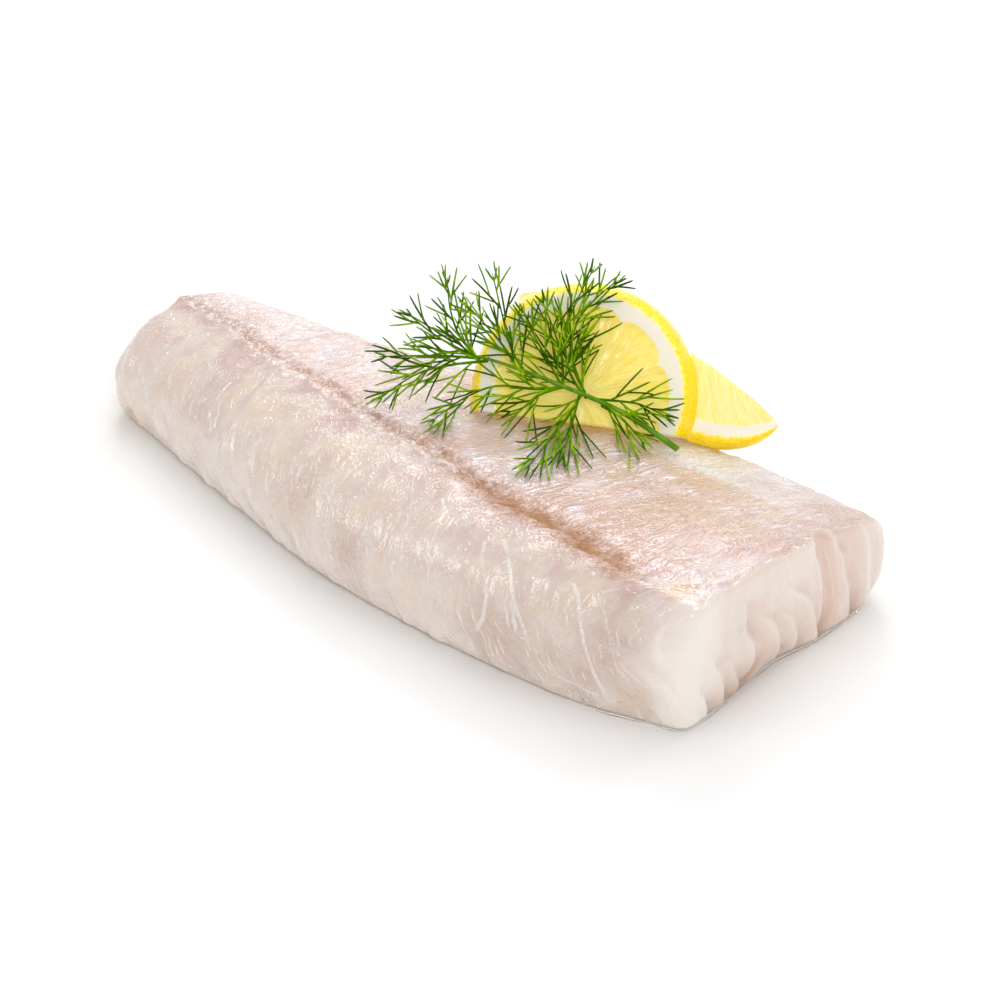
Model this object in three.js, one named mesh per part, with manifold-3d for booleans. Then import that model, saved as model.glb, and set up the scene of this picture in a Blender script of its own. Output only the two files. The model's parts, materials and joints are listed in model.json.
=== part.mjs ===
// A raw, skinned saithe loin with a thick lemon slice, a lemon wedge and a sprig of dill on top.
// Millimetres, +Z up, X along the loin with its square cut at +X. The origin is on the flat
// underside, under the middle of the loin.
import * as THREE from "three";
import Module from "manifold-3d";

const wasm = await Module();
wasm.setup();

// ---------------------------------------------------------------- driving dimensions

const DEG = Math.PI / 180;
const GAP = 0.3; // daylight left between things that rest on each other

// The loin, read from its thin end to the square cut: how far the front flank and the back edge
// reach across, the centre line between them, the height there and the height of the back edge.
const LOIN = {
  sections: [
    { at: -110.5, front: -27.5, line: 0.5, back: 24, crown: 28, shoulder: 23 },
    { at: -84, front: -33, line: -5, back: 25, crown: 30, shoulder: 25 },
    { at: -42, front: -42, line: -13, back: 31, crown: 33, shoulder: 27 },
    { at: -2, front: -49, line: -18, back: 39.5, crown: 34, shoulder: 28 },
    { at: 40, front: -49, line: -22.5, back: 47, crown: 35, shoulder: 30 },
    { at: 78, front: -45, line: -26.3, back: 49.5, crown: 36.5, shoulder: 31 },
    { at: 100, front: -38, line: -27.6, back: 48.5, crown: 37.5, shoulder: 32 },
    { at: 111, front: -33.5, line: -28, back: 48, crown: 37.5, shoulder: 32 },
  ],
  frontRound: 2.2, // 2 is an ellipse, more is squarer
  backRound: 3.6,
  footShare: 0.84, // share of each side that lies flat
  sideShare: 0.4, // height of the widest reach, as a share of the crown
  cutEdge: 3, // rounding of the square cut's edge
  thinEdge: 9, // rounding of the thin end
};

const RELIEF = {
  furrowDepth: 0.9, // the centre line
  furrowWidth: 3,
  creaseAt: 21, // the long crease behind the centre line
  creaseDepth: 1,
  creaseWidth: 4,
  flakeHeight: 0.5, // edges of the muscle flakes on the flank and top
  flakePitch: 14,
  flakeSweep: 34, // how far a flake's edge runs along the loin before it turns down
  // Partings between the flakes of the square cut: how deep each is, the height at which it ends and
  // where it runs, as a height and a place across.
  partings: [
    { depth: 1.2, top: 14, path: [{ at: 0, y: -24 }, { at: 6, y: -25.6 }, { at: 14, y: -31 }] },
    { depth: 1.2, top: 20, path: [{ at: 0, y: -17.5 }, { at: 10, y: -20 }, { at: 20, y: -25 }] },
    {
      depth: 2.4,
      top: 31,
      path: [{ at: 1, y: -12 }, { at: 9, y: -6.5 }, { at: 18, y: -8.5 }, { at: 32, y: -12.5 }],
    },
    {
      depth: 1.5,
      top: 24,
      path: [{ at: 1, y: 4.5 }, { at: 10, y: 3 }, { at: 17.5, y: -0.5 }, { at: 24, y: -8 }],
    },
    {
      depth: 1.1,
      top: 21,
      path: [{ at: 1, y: 12 }, { at: 8.5, y: 10.5 }, { at: 15, y: 7 }, { at: 23, y: -2 }],
    },
    {
      depth: 2.8,
      top: 60,
      path: [{ at: 1, y: 20 }, { at: 12, y: 21.5 }, { at: 20, y: 19.6 }, { at: 35, y: 16.4 }],
    },
    {
      depth: 1.6,
      top: 36,
      path: [{ at: 0, y: 34 }, { at: 10, y: 32.3 }, { at: 23, y: 28.3 }, { at: 33, y: 23 }],
    },
  ],
  partingWall: 2.2, // how far the near side of a parting reaches
  partingSlope: 6, // how far its far side reaches
  partingReach: 10, // how far the partings run back from the cut
  undercutDepth: 3, // hollow at the foot of the cut
  undercutHeight: 8,
  undercutAt: 2,
  undercutWidth: 17,
};

const LOIN_MESH = { across: 34, along: 48, capRows: 8, edgeRings: 3 };

// ---------------------------------------------------------------- helpers

function lerp(a, b, t) {
  return a + (b - a) * t;
}

function clamp(value, low, high) {
  return Math.min(Math.max(value, low), high);
}

function ease(t) {
  const c = clamp(t, 0, 1);
  return c * c * (3 - 2 * c);
}

// A bump of height 1 and the given half width round zero.
function bump(distance, halfWidth) {
  return ease(1 - Math.abs(distance) / halfWidth);
}

// A smooth curve through the named size of a list of stations, each with its own "at".
function curveThrough(stations, name, at) {
  const last = stations.length - 1;
  const x = clamp(at, stations[0].at, stations[last].at);
  let i = 0;
  while (i < last - 1 && x > stations[i + 1].at) {
    i += 1;
  }
  const slope = (j) => {
    const a = stations[Math.max(j - 1, 0)];
    const b = stations[Math.min(j + 1, last)];
    return (b[name] - a[name]) / (b.at - a.at);
  };
  const span = stations[i + 1].at - stations[i].at;
  const t = (x - stations[i].at) / span;
  const bend = (1 - t) * slope(i) - t * slope(i + 1);
  const rise = stations[i + 1][name] - stations[i][name];
  const straight = stations[i][name] + rise * t;
  return straight + t * (1 - t) * (bend * span + rise * (2 * t - 1));
}

// ---------------------------------------------------------------- solids and nodes

// Closed solid from points [x, y, z] and triangles [a, b, c].
function solidFrom(points, triangles) {
  const mesh = new wasm.Mesh({
    numProp: 3,
    vertProperties: new Float32Array(points.flat()),
    triVerts: new Uint32Array(triangles.flat()),
  });
  mesh.merge();
  return new wasm.Manifold(mesh);
}

// The largest body of a solid, without loose scraps.
function largestBody(solid) {
  return solid.decompose().reduce((a, b) => (b.volume() > a.volume() ? b : a));
}

// A named mesh from a solid.
function nodeFrom(name, solid, material) {
  const mesh = solid.getMesh();
  const geometry = new THREE.BufferGeometry();
  const positions = new Float32Array(mesh.vertProperties);
  geometry.setAttribute("position", new THREE.BufferAttribute(positions, 3));
  geometry.setIndex(new THREE.BufferAttribute(new Uint32Array(mesh.triVerts), 1));
  geometry.computeVertexNormals();
  const node = new THREE.Mesh(geometry, material);
  node.name = name;
  return node;
}

// Triangles between two rows of equal length, facing left of the way from row a to row b.
function stripBetween(a, b, closed) {
  const triangles = [];
  const count = closed ? a.length : a.length - 1;
  for (let i = 0; i < count; i += 1) {
    const j = (i + 1) % a.length;
    triangles.push([a[i], a[j], b[j]]);
    triangles.push([a[i], b[j], b[i]]);
  }
  return triangles;
}

// ---------------------------------------------------------------- loin

// Everything about the loin's cross section at one place along it.
function loinSection(x) {
  const names = ["front", "line", "back", "crown", "shoulder"];
  const section = {};
  names.forEach((name) => {
    section[name] = curveThrough(LOIN.sections, name, x);
  });
  section.line += 0.7 * Math.sin(x * 0.13) + 0.4 * Math.sin(x * 0.41);
  section.side = section.crown * LOIN.sideShare;
  return section;
}

// Where y lies between the centre line, 0, and the widest reach of its side, -1 or 1.
function shareAcross(section, y) {
  const reach = y < section.line ? section.line - section.front : section.back - section.line;
  return clamp((y - section.line) / reach, -1, 1);
}

function smoothTop(section, share) {
  const away = Math.abs(share);
  const round = share < 0 ? LOIN.frontRound : LOIN.backRound;
  const sag = share < 0 ? 0 : (section.crown - section.shoulder) * away ** 1.3;
  const side = share < 0 ? section.side : section.side * 0.8;
  return side + (section.crown - sag - side) * (1 - away ** round) ** (1 / round);
}

// Furrow, crease and the raised edges of the flakes, faded out towards the widest reach.
function topRelief(section, x, y, share) {
  const away = Math.abs(share);
  const furrow = -RELIEF.furrowDepth * bump(y - section.line, RELIEF.furrowWidth);
  const lip = 0.5 * bump(Math.abs(y - section.line) - 3.6, 3);
  const along = bump(x - 30, 62);
  const crease = -RELIEF.creaseDepth * along * bump(y - RELIEF.creaseAt, RELIEF.creaseWidth);
  const swept = x - RELIEF.flakeSweep * (1 - away) ** 2 * (share < 0 ? 1 : 0.4);
  const phase = swept / RELIEF.flakePitch + 0.25 * Math.sin(x * 0.07 + share * 3);
  const saw = phase - Math.floor(phase);
  const flake = RELIEF.flakeHeight * (saw < 0.75 ? saw / 0.75 : (1 - saw) / 0.25);
  const patchy = 0.65 + 0.35 * Math.sin(x * 0.11 + 2 * share) * Math.cos(y * 0.13 - x * 0.045);
  const calm = ease((1 - away) / 0.1) * ease(away / 0.12) * patchy * (share < 0 ? 1 : 0.6);
  const ends = ease((x - LOIN.sections[0].at) / 26) * ease((1 - away) / 0.2);
  return (furrow + lip) * ends + crease + (flake - 0.2) * calm;
}

// Height of the loin's top at a place on its plan.
function loinTop(x, y) {
  const section = loinSection(x);
  const share = shareAcross(section, y);
  return smoothTop(section, share) + topRelief(section, x, y, share);
}

function loinUnderside(section, share) {
  const away = Math.abs(share);
  const side = share < 0 ? section.side : section.side * 0.8;
  const rise = clamp((away - LOIN.footShare) / (1 - LOIN.footShare), 0, 1);
  return side * (1 - Math.sqrt(1 - rise ** 2));
}

// Shares across at which the loin is measured: even round each flank, with three in the furrow.
function loinShares(section) {
  const half = LOIN_MESH.across / 2;
  const shares = [0];
  for (let i = 0; i < half; i += 1) {
    const angle = (i / (half - 1)) * 90 * DEG;
    const frontLip = RELIEF.furrowWidth / (section.line - section.front);
    const backLip = RELIEF.furrowWidth / (section.back - section.line);
    shares.push(-(frontLip + (1 - frontLip) * Math.sin(angle) ** 0.87));
    shares.push(backLip + (1 - backLip) * Math.sin(angle) ** 0.7);
  }
  return shares.sort((a, b) => a - b);
}

// How far a place on the square cut is sunk, by the partings of its flakes and by its hollow foot.
function cutParting(y, z) {
  const depths = RELIEF.partings.map(({ depth, top, path }) => {
    const past = y - curveThrough(path, "y", z);
    const reach = past < 0 ? RELIEF.partingWall : RELIEF.partingSlope;
    const near = 1 - clamp(Math.abs(past) / reach, 0, 1);
    return depth * ease((top - z) / 6) * (1 - Math.sqrt(1 - near ** 2));
  });
  const low = ease(1 - z / RELIEF.undercutHeight);
  const hollow = RELIEF.undercutDepth * low * bump(y - RELIEF.undercutAt, RELIEF.undercutWidth);
  return -Math.max(...depths) - hollow;
}

// Bulges of the thin end.
function thinLobe(y, z) {
  return 0.7 * Math.sin(y * 0.3 + z * 0.12) + 0.5 * Math.sin(z * 0.35);
}

// Pushes a point near either end along the loin, so that the ends are uneven.
function unevenEnd([x, y, z]) {
  const cut = LOIN.sections.at(-1).at;
  const thin = LOIN.sections[0].at;
  const nearCut = ease(1 - (cut - x) / RELIEF.partingReach);
  const nearThin = ease(1 - (x - thin) / 16);
  return [x + nearCut * cutParting(y, z) + nearThin * thinLobe(y, z), y, z];
}

// One ring round the loin: over the top from front to back, then back along the underside. Near
// the ends the section is drawn in towards its middle by inset.
function loinRing(x, inset) {
  const section = loinSection(x);
  const middle = (section.front + section.back) / 2;
  const level = section.crown / 2;
  const shrinkY = 1 - inset / ((section.back - section.front) / 2);
  const shrinkZ = 1 - inset / level;
  const place = (y, z) => [x, middle + (y - middle) * shrinkY, level + (z - level) * shrinkZ];
  const shares = loinShares(section);
  const across = (share) => {
    const reach = share < 0 ? section.line - section.front : section.back - section.line;
    return section.line + share * reach;
  };
  const top = shares.map((share) => {
    const y = across(share);
    return place(y, smoothTop(section, share) + topRelief(section, x, y, share));
  });
  const inner = shares.slice(1, -1);
  const bottom = inner.map((share) => place(across(share), loinUnderside(section, share)));
  return { top, bottom };
}

// Places along the loin from the square cut to the thin end, each with its inset.
function loinStations() {
  const thin = LOIN.sections[0].at;
  const cut = LOIN.sections.at(-1).at;
  const rings = LOIN_MESH.edgeRings;
  const stations = [];
  for (let i = 0; i <= rings; i += 1) {
    const angle = 90 * DEG * (1 - i / rings);
    const back = LOIN.cutEdge * (1 - Math.sin(angle));
    stations.push([cut - back, LOIN.cutEdge * (1 - Math.cos(angle))]);
  }
  const from = cut - LOIN.cutEdge;
  const to = thin + LOIN.thinEdge;
  for (let i = 1; i < LOIN_MESH.along; i += 1) {
    stations.push([lerp(from, to, i / LOIN_MESH.along), 0]);
  }
  for (let i = 0; i <= rings; i += 1) {
    const angle = 90 * DEG * (i / rings);
    const back = LOIN.thinEdge * (1 - Math.sin(angle));
    stations.push([thin + back, LOIN.thinEdge * (1 - Math.cos(angle))]);
  }
  return stations;
}

// Rows of points from the top of an end face to its bottom, one column per share across.
function capColumns(points, top, bottom) {
  const rows = LOIN_MESH.capRows;
  return top.map((high, i) => {
    const low = i === 0 || i === top.length - 1 ? high : bottom[i - 1];
    const column = [high];
    for (let row = 1; row < rows; row += 1) {
      if (low === high) {
        column.push(high);
      } else {
        points.push(points[high].map((value, k) => lerp(value, points[low][k], row / rows)));
        column.push(points.length - 1);
      }
    }
    column.push(low);
    return column;
  });
}

function capTriangles(columns, facingCut) {
  const triangles = [];
  for (let i = 0; i + 1 < columns.length; i += 1) {
    const [a, b] = facingCut ? [columns[i], columns[i + 1]] : [columns[i + 1], columns[i]];
    triangles.push(...stripBetween(a, b, false));
  }
  return triangles.filter(([a, b, c]) => a !== b && b !== c && c !== a);
}

function loinSolid() {
  const points = [];
  const triangles = [];
  const rings = loinStations().map(([x, inset]) => {
    const { top, bottom } = loinRing(x, inset);
    const first = points.length;
    points.push(...top, ...bottom);
    const topIds = top.map((_, i) => first + i);
    const bottomIds = bottom.map((_, i) => first + top.length + i);
    return { top: topIds, bottom: bottomIds, round: [...topIds, ...bottomIds.toReversed()] };
  });
  for (let i = 0; i + 1 < rings.length; i += 1) {
    triangles.push(...stripBetween(rings[i].round, rings[i + 1].round, true));
  }
  const ends = [rings[0], rings.at(-1)];
  ends.forEach((ring, i) => {
    const columns = capColumns(points, ring.top, ring.bottom);
    triangles.push(...capTriangles(columns, i === 0));
  });
  return solidFrom(points.map(unevenEnd), triangles).simplify(0.02);
}

// ---------------------------------------------------------------- lemon

const SLICE = {
  thickness: 8.5,
  faceRadius: 28.3, // the rind flares from the front face to the back one
  backRadius: 30.6,
  fleshRadius: 23.6,
  cutBelow: 7.9, // the straight cut, below the centre
  segments: 9,
  firstSegment: 28, // degrees
  fleshSink: 0.45,
  cornerRound: 2.4, // rounding of the segments' outer corners
  at: [27.4, 21.1, 40.1], // centre of the front face
  roll: -2.8, // of the straight cut
  turn: 34,
  lean: 36,
};

const WEDGE = {
  length: 84,
  halfWidth: 13.5,
  rimBelow: 11.5, // the cut faces run from the ridge down to the rind's rim
  bellyBelow: 21.5,
  bow: 5, // how much the ridge and the belly stand out at the middle
  fleshShare: 0.8, // share of a cut face that is flesh
  fleshSink: 0.4,
  stemTip: -9, // height of the blunt stem end and of the pointed end, against the ridge
  pointedTip: -3,
  at: [30, 45.7, 45.8],
  turn: 9,
  dip: 12,
};

// Turns and moves a solid built round the origin: it rolls or dips about Y, leans back about X and
// turns about Z.
function placed(solid, { at, turn, lean = 0, dip = 0, roll = 0 }) {
  return solid.rotate([0, dip - roll, 0]).rotate([-lean, 0, turn]).translate(at);
}

// How deep the flesh lies below the pith: sunk inside each segment, level at the membranes.
function fleshDepth(radius, angle) {
  const turn = (angle - SLICE.firstSegment) / (360 / SLICE.segments);
  const within = turn - Math.floor(turn);
  const fromWall = Math.min(within, 1 - within) * (360 / SLICE.segments) * DEG * radius;
  const corner = SLICE.cornerRound * (1 - Math.sin(within * 180 * DEG)) ** 3;
  const fromPith = SLICE.fleshRadius - corner - radius;
  return SLICE.fleshSink * ease((fromWall - 0.3) / 1) * ease(fromPith / 0.7);
}

// Angles at which the slice is measured: close together at each membrane.
function sliceAngles() {
  const pitch = 360 / SLICE.segments;
  const offsets = [0, 0.1, 0.3, 0.5, 0.7, 0.9];
  const angles = [];
  for (let i = 0; i < SLICE.segments; i += 1) {
    offsets.forEach((offset) => angles.push(SLICE.firstSegment + (i + offset) * pitch));
  }
  return angles;
}

// Rings of the slice as [radius, depth at a radius and angle], from the front face to the back.
function sliceRings() {
  const flesh = SLICE.fleshRadius;
  const wide = SLICE.backRadius - SLICE.faceRadius;
  const face = [5, 10, 15, flesh - 2.6, flesh - 0.8, flesh + 0.2, SLICE.faceRadius - 0.6];
  const back = (radius, angle) => SLICE.thickness - fleshDepth(radius - wide, angle);
  return [
    ...face.map((radius) => [radius, fleshDepth]),
    [SLICE.faceRadius, () => 0.5],
    [SLICE.faceRadius + wide / 2 + 0.4, () => SLICE.thickness / 2],
    [SLICE.backRadius, () => SLICE.thickness - 0.6],
    ...face.toReversed().map((radius) => [radius + wide, back]),
  ];
}

// A slice in its own frame: the front face looks along -Y, and the rim is whole.
function sliceSolid() {
  const angles = sliceAngles();
  const points = [[0, 0, 0], [0, SLICE.thickness, 0]];
  const rings = sliceRings().map(([radius, depth]) => {
    return angles.map((angle) => {
      const [x, z] = [radius * Math.cos(angle * DEG), radius * Math.sin(angle * DEG)];
      points.push([x, depth(radius, angle), z]);
      return points.length - 1;
    });
  });
  const triangles = [];
  angles.forEach((_, i) => {
    const j = (i + 1) % angles.length;
    triangles.push([0, rings[0][i], rings[0][j]]);
    triangles.push([1, rings.at(-1)[j], rings.at(-1)[i]]);
  });
  for (let i = 0; i + 1 < rings.length; i += 1) {
    triangles.push(...stripBetween(rings[i + 1], rings[i], true));
  }
  return solidFrom(points, triangles);
}

// Fullness of the wedge at a share of its half length: blunt at the stem end, pointed at the other.
function wedgeFullness(share) {
  const power = share < 0 ? 3.2 : 2.8;
  return Math.max(1 - Math.abs(share) ** power, 0.0004) ** 0.55;
}

// Sizes of the wedge's section at a share of its half length.
function wedgeSection(share) {
  const full = wedgeFullness(share);
  const tip = share < 0 ? WEDGE.stemTip : WEDGE.pointedTip;
  const ridge = WEDGE.bow * (1 - share ** 2);
  return {
    x: (share * WEDGE.length) / 2,
    half: WEDGE.halfWidth * full,
    ridge: tip + (ridge - tip) * full ** 0.8,
    rim: tip - (WEDGE.rimBelow + tip) * full,
    belly: tip - (WEDGE.bellyBelow + tip) * full,
    sink: WEDGE.fleshSink * full,
  };
}

// Shares down a cut face, from the ridge to just past the edge of the flesh.
const WEDGE_STEPS = [0.3, 0.6, WEDGE.fleshShare - 0.05, WEDGE.fleshShare + 0.03];

// A ring round the wedge: from the ridge down the back face, round the rind and up the front face.
function wedgeRing(section) {
  const { x, half, ridge, rim, belly, sink } = section;
  const facePoint = (share, side) => {
    const sunk = share < WEDGE.fleshShare ? sink : 0;
    return [x, side * (half * share - sunk * 0.6), lerp(ridge, rim, share) - sunk * 0.7];
  };
  const ring = [[x, 0, ridge], ...WEDGE_STEPS.map((share) => facePoint(share, 1))];
  for (let k = 0; k <= 8; k += 1) {
    const angle = (k / 8) * Math.PI;
    ring.push([x, half * Math.cos(angle), rim - (rim - belly) * Math.sin(angle)]);
  }
  ring.push(...WEDGE_STEPS.toReversed().map((share) => facePoint(share, -1)));
  return ring;
}

// A wedge in its own frame: the ridge is on top along X and the belly of rind underneath.
function wedgeSolid() {
  const rows = 24;
  const points = [];
  const triangles = [];
  const loops = [];
  for (let i = 0; i <= rows; i += 1) {
    const ring = wedgeRing(wedgeSection(-Math.cos((i / rows) * Math.PI)));
    loops.push(ring.map((_, k) => points.length + k));
    points.push(...ring);
  }
  for (let i = 0; i < rows; i += 1) {
    triangles.push(...stripBetween(loops[i + 1], loops[i], true));
  }
  [loops[0], loops[rows].toReversed()].forEach((loop) => {
    for (let k = 1; k + 1 < loop.length; k += 1) {
      triangles.push([loop[0], loop[k], loop[k + 1]]);
    }
  });
  return solidFrom(points, triangles);
}

// ---------------------------------------------------------------- dill

// The sprig is laid out flat in front of the slice: each place is [across, up] from the slice's
// centre, along its straight cut and along its face. The stem comes first, from its cut end.
const DILL = {
  standOff: 3.6, // before the slice's face
  stem: [[27, -13], [12, -4.5], [-5, 1.5], [-20.5, 6], [-28, 7.5]],
  stemRadii: [0.85, 0.75, 0.62, 0.5, 0.4],
  fronds: [
    [[-27, 7], [-34, 9.5], [-41, 13], [-47.5, 17.5]],
    [[-27, 7], [-35.5, 7], [-44, 6.5], [-54.5, 5.5]],
    [[-25, 6.5], [-35.5, 4.5], [-44.5, 1], [-54, -7]],
    [[-28.5, 7.5], [-33.5, 13], [-36.5, 20], [-38, 28]],
    [[-17, 5], [-21.5, 11], [-27, 16.5], [-32.5, 21.5]],
    [[-15.5, 5], [-19, 10], [-22.5, 19.5], [-26, 30]],
    [[-5, 1.5], [-9.5, 8.5], [-13.5, 14.5], [-17, 21]],
    [[-4.5, 1], [-5.5, 9], [-8.5, 16.5], [-12.5, 24.5]],
    [[2, -1.5], [-3, 5], [-5, 14.5], [-2.5, 24], [2.5, 36.5]],
    [[-3.5, 7.5], [-2, 18], [3.5, 26], [9.5, 32]],
    [[1.5, 0], [-2, 6], [-1, 11.5], [2, 17]],
    [[4, -1.5], [10, -1.5], [16.5, -2], [24.5, -5]],
    [[6, -3], [11, -5.5], [14.5, -8.5], [18.5, -12.5]],
    [[0.5, -0.6], [-3, -7.5], [-7.5, -14], [-13, -22]],
    [[0, -0.4], [-1, -7], [-2, -12.5], [-3, -18.5]],
    [[-4.5, 1], [-12, 0], [-22.5, 0], [-31.5, -4.5], [-39.5, -11.5]],
    [[-5, 1], [-10.5, -1.5], [-14, -5], [-18.5, -7]],
  ],
  ribRadius: 0.45,
  leafletRadius: 0.36,
  branchPitch: 5,
  branchLengths: [11, 5], // near the foot of a frond and near its tip
  branchAngle: 29, // degrees off the rib
  leafletAngle: 22,
  leafletShare: 0.6, // length of a leaflet against its branch
  curl: 2.4, // how far a frond's tip stands off the sprig's plane
  seed: 7,
};

// Evenly spread repeatable numbers from 0 to 1.
function numbersFrom(seed) {
  let state = seed;
  return () => {
    state = (Math.imul(state, 1664525) + 1013904223) >>> 0;
    return state / 4294967296;
  };
}

function sliceAxes() {
  const across = new THREE.Vector3(Math.cos(SLICE.turn * DEG), Math.sin(SLICE.turn * DEG), 0);
  const out = new THREE.Vector3(Math.sin(SLICE.turn * DEG), -Math.cos(SLICE.turn * DEG), 0);
  out.multiplyScalar(Math.cos(SLICE.lean * DEG));
  out.z = Math.sin(SLICE.lean * DEG);
  return { across, out, up: new THREE.Vector3().crossVectors(out, across) };
}

// A place of the flat layout in space. What would dip into the loin bends forward over it.
function sprigPlace([across, up], off, radius) {
  const axes = sliceAxes();
  const place = new THREE.Vector3(...SLICE.at);
  place.addScaledVector(axes.across, across);
  place.addScaledVector(axes.up, up);
  place.addScaledVector(axes.out, off);
  const forward = new THREE.Vector3(0.57, -0.62, 0.54);
  const clear = GAP + 0.6 + radius;
  for (let step = 0; step < 200; step += 1) {
    if (place.z >= loinTop(place.x, place.y) + clear) {
      return place;
    }
    place.addScaledVector(forward, 0.25);
  }
  return place;
}

// A tapering rod through places in space, with three or more sides; a last radius of 0 is a point.
function rod(places, radii, sides) {
  const points = [];
  const triangles = [];
  const out = sliceAxes().out;
  const rings = places.map((place, i) => {
    const before = places[Math.max(i - 1, 0)];
    const after = places[Math.min(i + 1, places.length - 1)];
    const along = new THREE.Vector3().subVectors(after, before).normalize();
    const side = new THREE.Vector3().crossVectors(along, out).normalize();
    const face = new THREE.Vector3().crossVectors(along, side);
    const corners = radii[i] === 0 ? 1 : sides;
    const ids = [];
    for (let k = 0; k < corners; k += 1) {
      const angle = (k / sides) * 360 * DEG;
      const at = place.clone().addScaledVector(side, radii[i] * Math.cos(angle));
      at.addScaledVector(face, radii[i] * Math.sin(angle));
      points.push(at.toArray());
      ids.push(points.length - 1);
    }
    return corners === 1 ? new Array(sides).fill(ids[0]) : ids;
  });
  for (let i = 0; i + 1 < rings.length; i += 1) {
    triangles.push(...stripBetween(rings[i], rings[i + 1], true));
  }
  [rings[0].toReversed(), rings.at(-1)].forEach((ring) => {
    for (let k = 1; k + 1 < sides; k += 1) {
      triangles.push([ring[0], ring[k], ring[k + 1]]);
    }
  });
  const whole = triangles.filter(([a, b, c]) => a !== b && b !== c && c !== a);
  return solidFrom(points, whole);
}

// Point and heading at a share of a polyline in the flat layout, each leg being an equal share.
function alongPath(path, share) {
  const reach = clamp(share, 0, 0.999) * (path.length - 1);
  const i = Math.floor(reach);
  const [a, b] = [path[i], path[i + 1]];
  return {
    at: [lerp(a[0], b[0], reach - i), lerp(a[1], b[1], reach - i)],
    heading: Math.atan2(b[1] - a[1], b[0] - a[0]),
  };
}

function pathLength(path) {
  let total = 0;
  for (let i = 0; i + 1 < path.length; i += 1) {
    total += Math.hypot(path[i + 1][0] - path[i][0], path[i + 1][1] - path[i][1]);
  }
  return total;
}

function stepFrom([x, y], heading, length) {
  return [x + length * Math.cos(heading), y + length * Math.sin(heading)];
}

// Place at a share of the way along places in space.
function alongPlaces(places, share) {
  const reach = clamp(share, 0, 0.999) * (places.length - 1);
  const i = Math.floor(reach);
  return places[i].clone().lerp(places[i + 1], reach - i);
}

// A side branch, with a leaflet on one side of it or on both.
function branchRods(foot, at, heading, length, off, random) {
  const tip = sprigPlace(stepFrom(at, heading, length), off + (random() - 0.5) * 2, 0.2);
  const rods = [rod([foot, tip], [DILL.leafletRadius, 0], 3)];
  const sides = random() < 0.35 ? [1, -1] : [random() < 0.5 ? 1 : -1];
  sides.forEach((side, i) => {
    const share = 0.25 + 0.2 * i + 0.1 * random();
    const turned = heading + side * DILL.leafletAngle * DEG * (0.8 + 0.5 * random());
    const start = stepFrom(at, heading, length * share);
    const end = stepFrom(start, turned, length * DILL.leafletShare * (0.8 + 0.4 * random()));
    const root = alongPlaces([foot, tip], share);
    rods.push(rod([root, sprigPlace(end, off + random() - 0.5, 0.2)], [0.27, 0], 3));
  });
  return rods;
}

// A frond: a rib with branches to the left and right in turn.
function frondRods(path, curl, random) {
  const off = (share) => DILL.standOff + curl * share ** 2;
  const shares = path.map((_, i) => i / (path.length - 1));
  const places = shares.map((share, i) => sprigPlace(path[i], off(share), DILL.ribRadius));
  const radii = shares.map((share) => (share === 1 ? 0 : lerp(DILL.ribRadius, 0.3, share)));
  const rods = [rod(places, radii, 3)];
  const count = Math.round(pathLength(path) / DILL.branchPitch);
  for (let i = 1; i < count; i += 1) {
    const share = (i + 0.3 * random()) / count;
    const { at, heading } = alongPath(path, share);
    const side = i % 2 === 0 ? 1 : -1;
    const turned = heading + side * DILL.branchAngle * DEG * (0.8 + 0.4 * random());
    const reach = lerp(...DILL.branchLengths, share) * (0.8 + 0.4 * random());
    rods.push(...branchRods(alongPlaces(places, share), at, turned, reach, off(share), random));
  }
  return rods;
}

function dillSolid() {
  const random = numbersFrom(DILL.seed);
  const stem = DILL.stem.map((at, i) => sprigPlace(at, DILL.standOff, DILL.stemRadii[i]));
  const rods = [rod(stem, DILL.stemRadii, 6)];
  DILL.fronds.forEach((path, i) => {
    rods.push(...frondRods(path, DILL.curl * (i % 2 === 0 ? 1 : -0.3), random));
  });
  return largestBody(wasm.Manifold.union(rods).simplify(0.02));
}

// ---------------------------------------------------------------- the whole

function material(colour, roughness) {
  return new THREE.MeshStandardMaterial({ color: colour, roughness, metalness: 0 });
}

const loin = loinSolid();
const bed = loin.translate([0, 0, GAP]);
const halfSlice = sliceSolid().trimByPlane([0, 0, 1], -SLICE.cutBelow);
const slice = largestBody(placed(halfSlice, SLICE).subtract(bed));
const room = placed(halfSlice.scale([1.02, 1.12, 1.02]).translate([0, -GAP, 0]), SLICE);
const wedge = largestBody(placed(wedgeSolid(), WEDGE).subtract(bed).subtract(room));

const dill = dillSolid();

const whole = new THREE.Group();
whole.add(nodeFrom("loin", loin, material(0xe6d5cb, 0.35)));
whole.add(nodeFrom("lemon_slice", slice, material(0xf7dc72, 0.35)));
whole.add(nodeFrom("lemon_wedge", wedge, material(0xf7dc72, 0.35)));
whole.add(nodeFrom("dill_sprig", dill, material(0x4f8a1f, 0.5)));
export default whole;
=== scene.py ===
"""Looks of a raw, skinned saithe loin with a lemon slice, a lemon wedge and dill on top.

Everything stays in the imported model's frame: X runs along the loin towards its square cut, Y
towards its back edge and Z up. Sizes are in millimetres until a mesh is finished.
"""

from __future__ import annotations

import json
import logging
import math
from collections.abc import Iterator, Sequence
from dataclasses import dataclass, field
from enum import Enum

import bmesh
import bpy
import numpy as np
from mathutils import Matrix, Vector, noise
from mathutils.bvhtree import BVHTree

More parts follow.
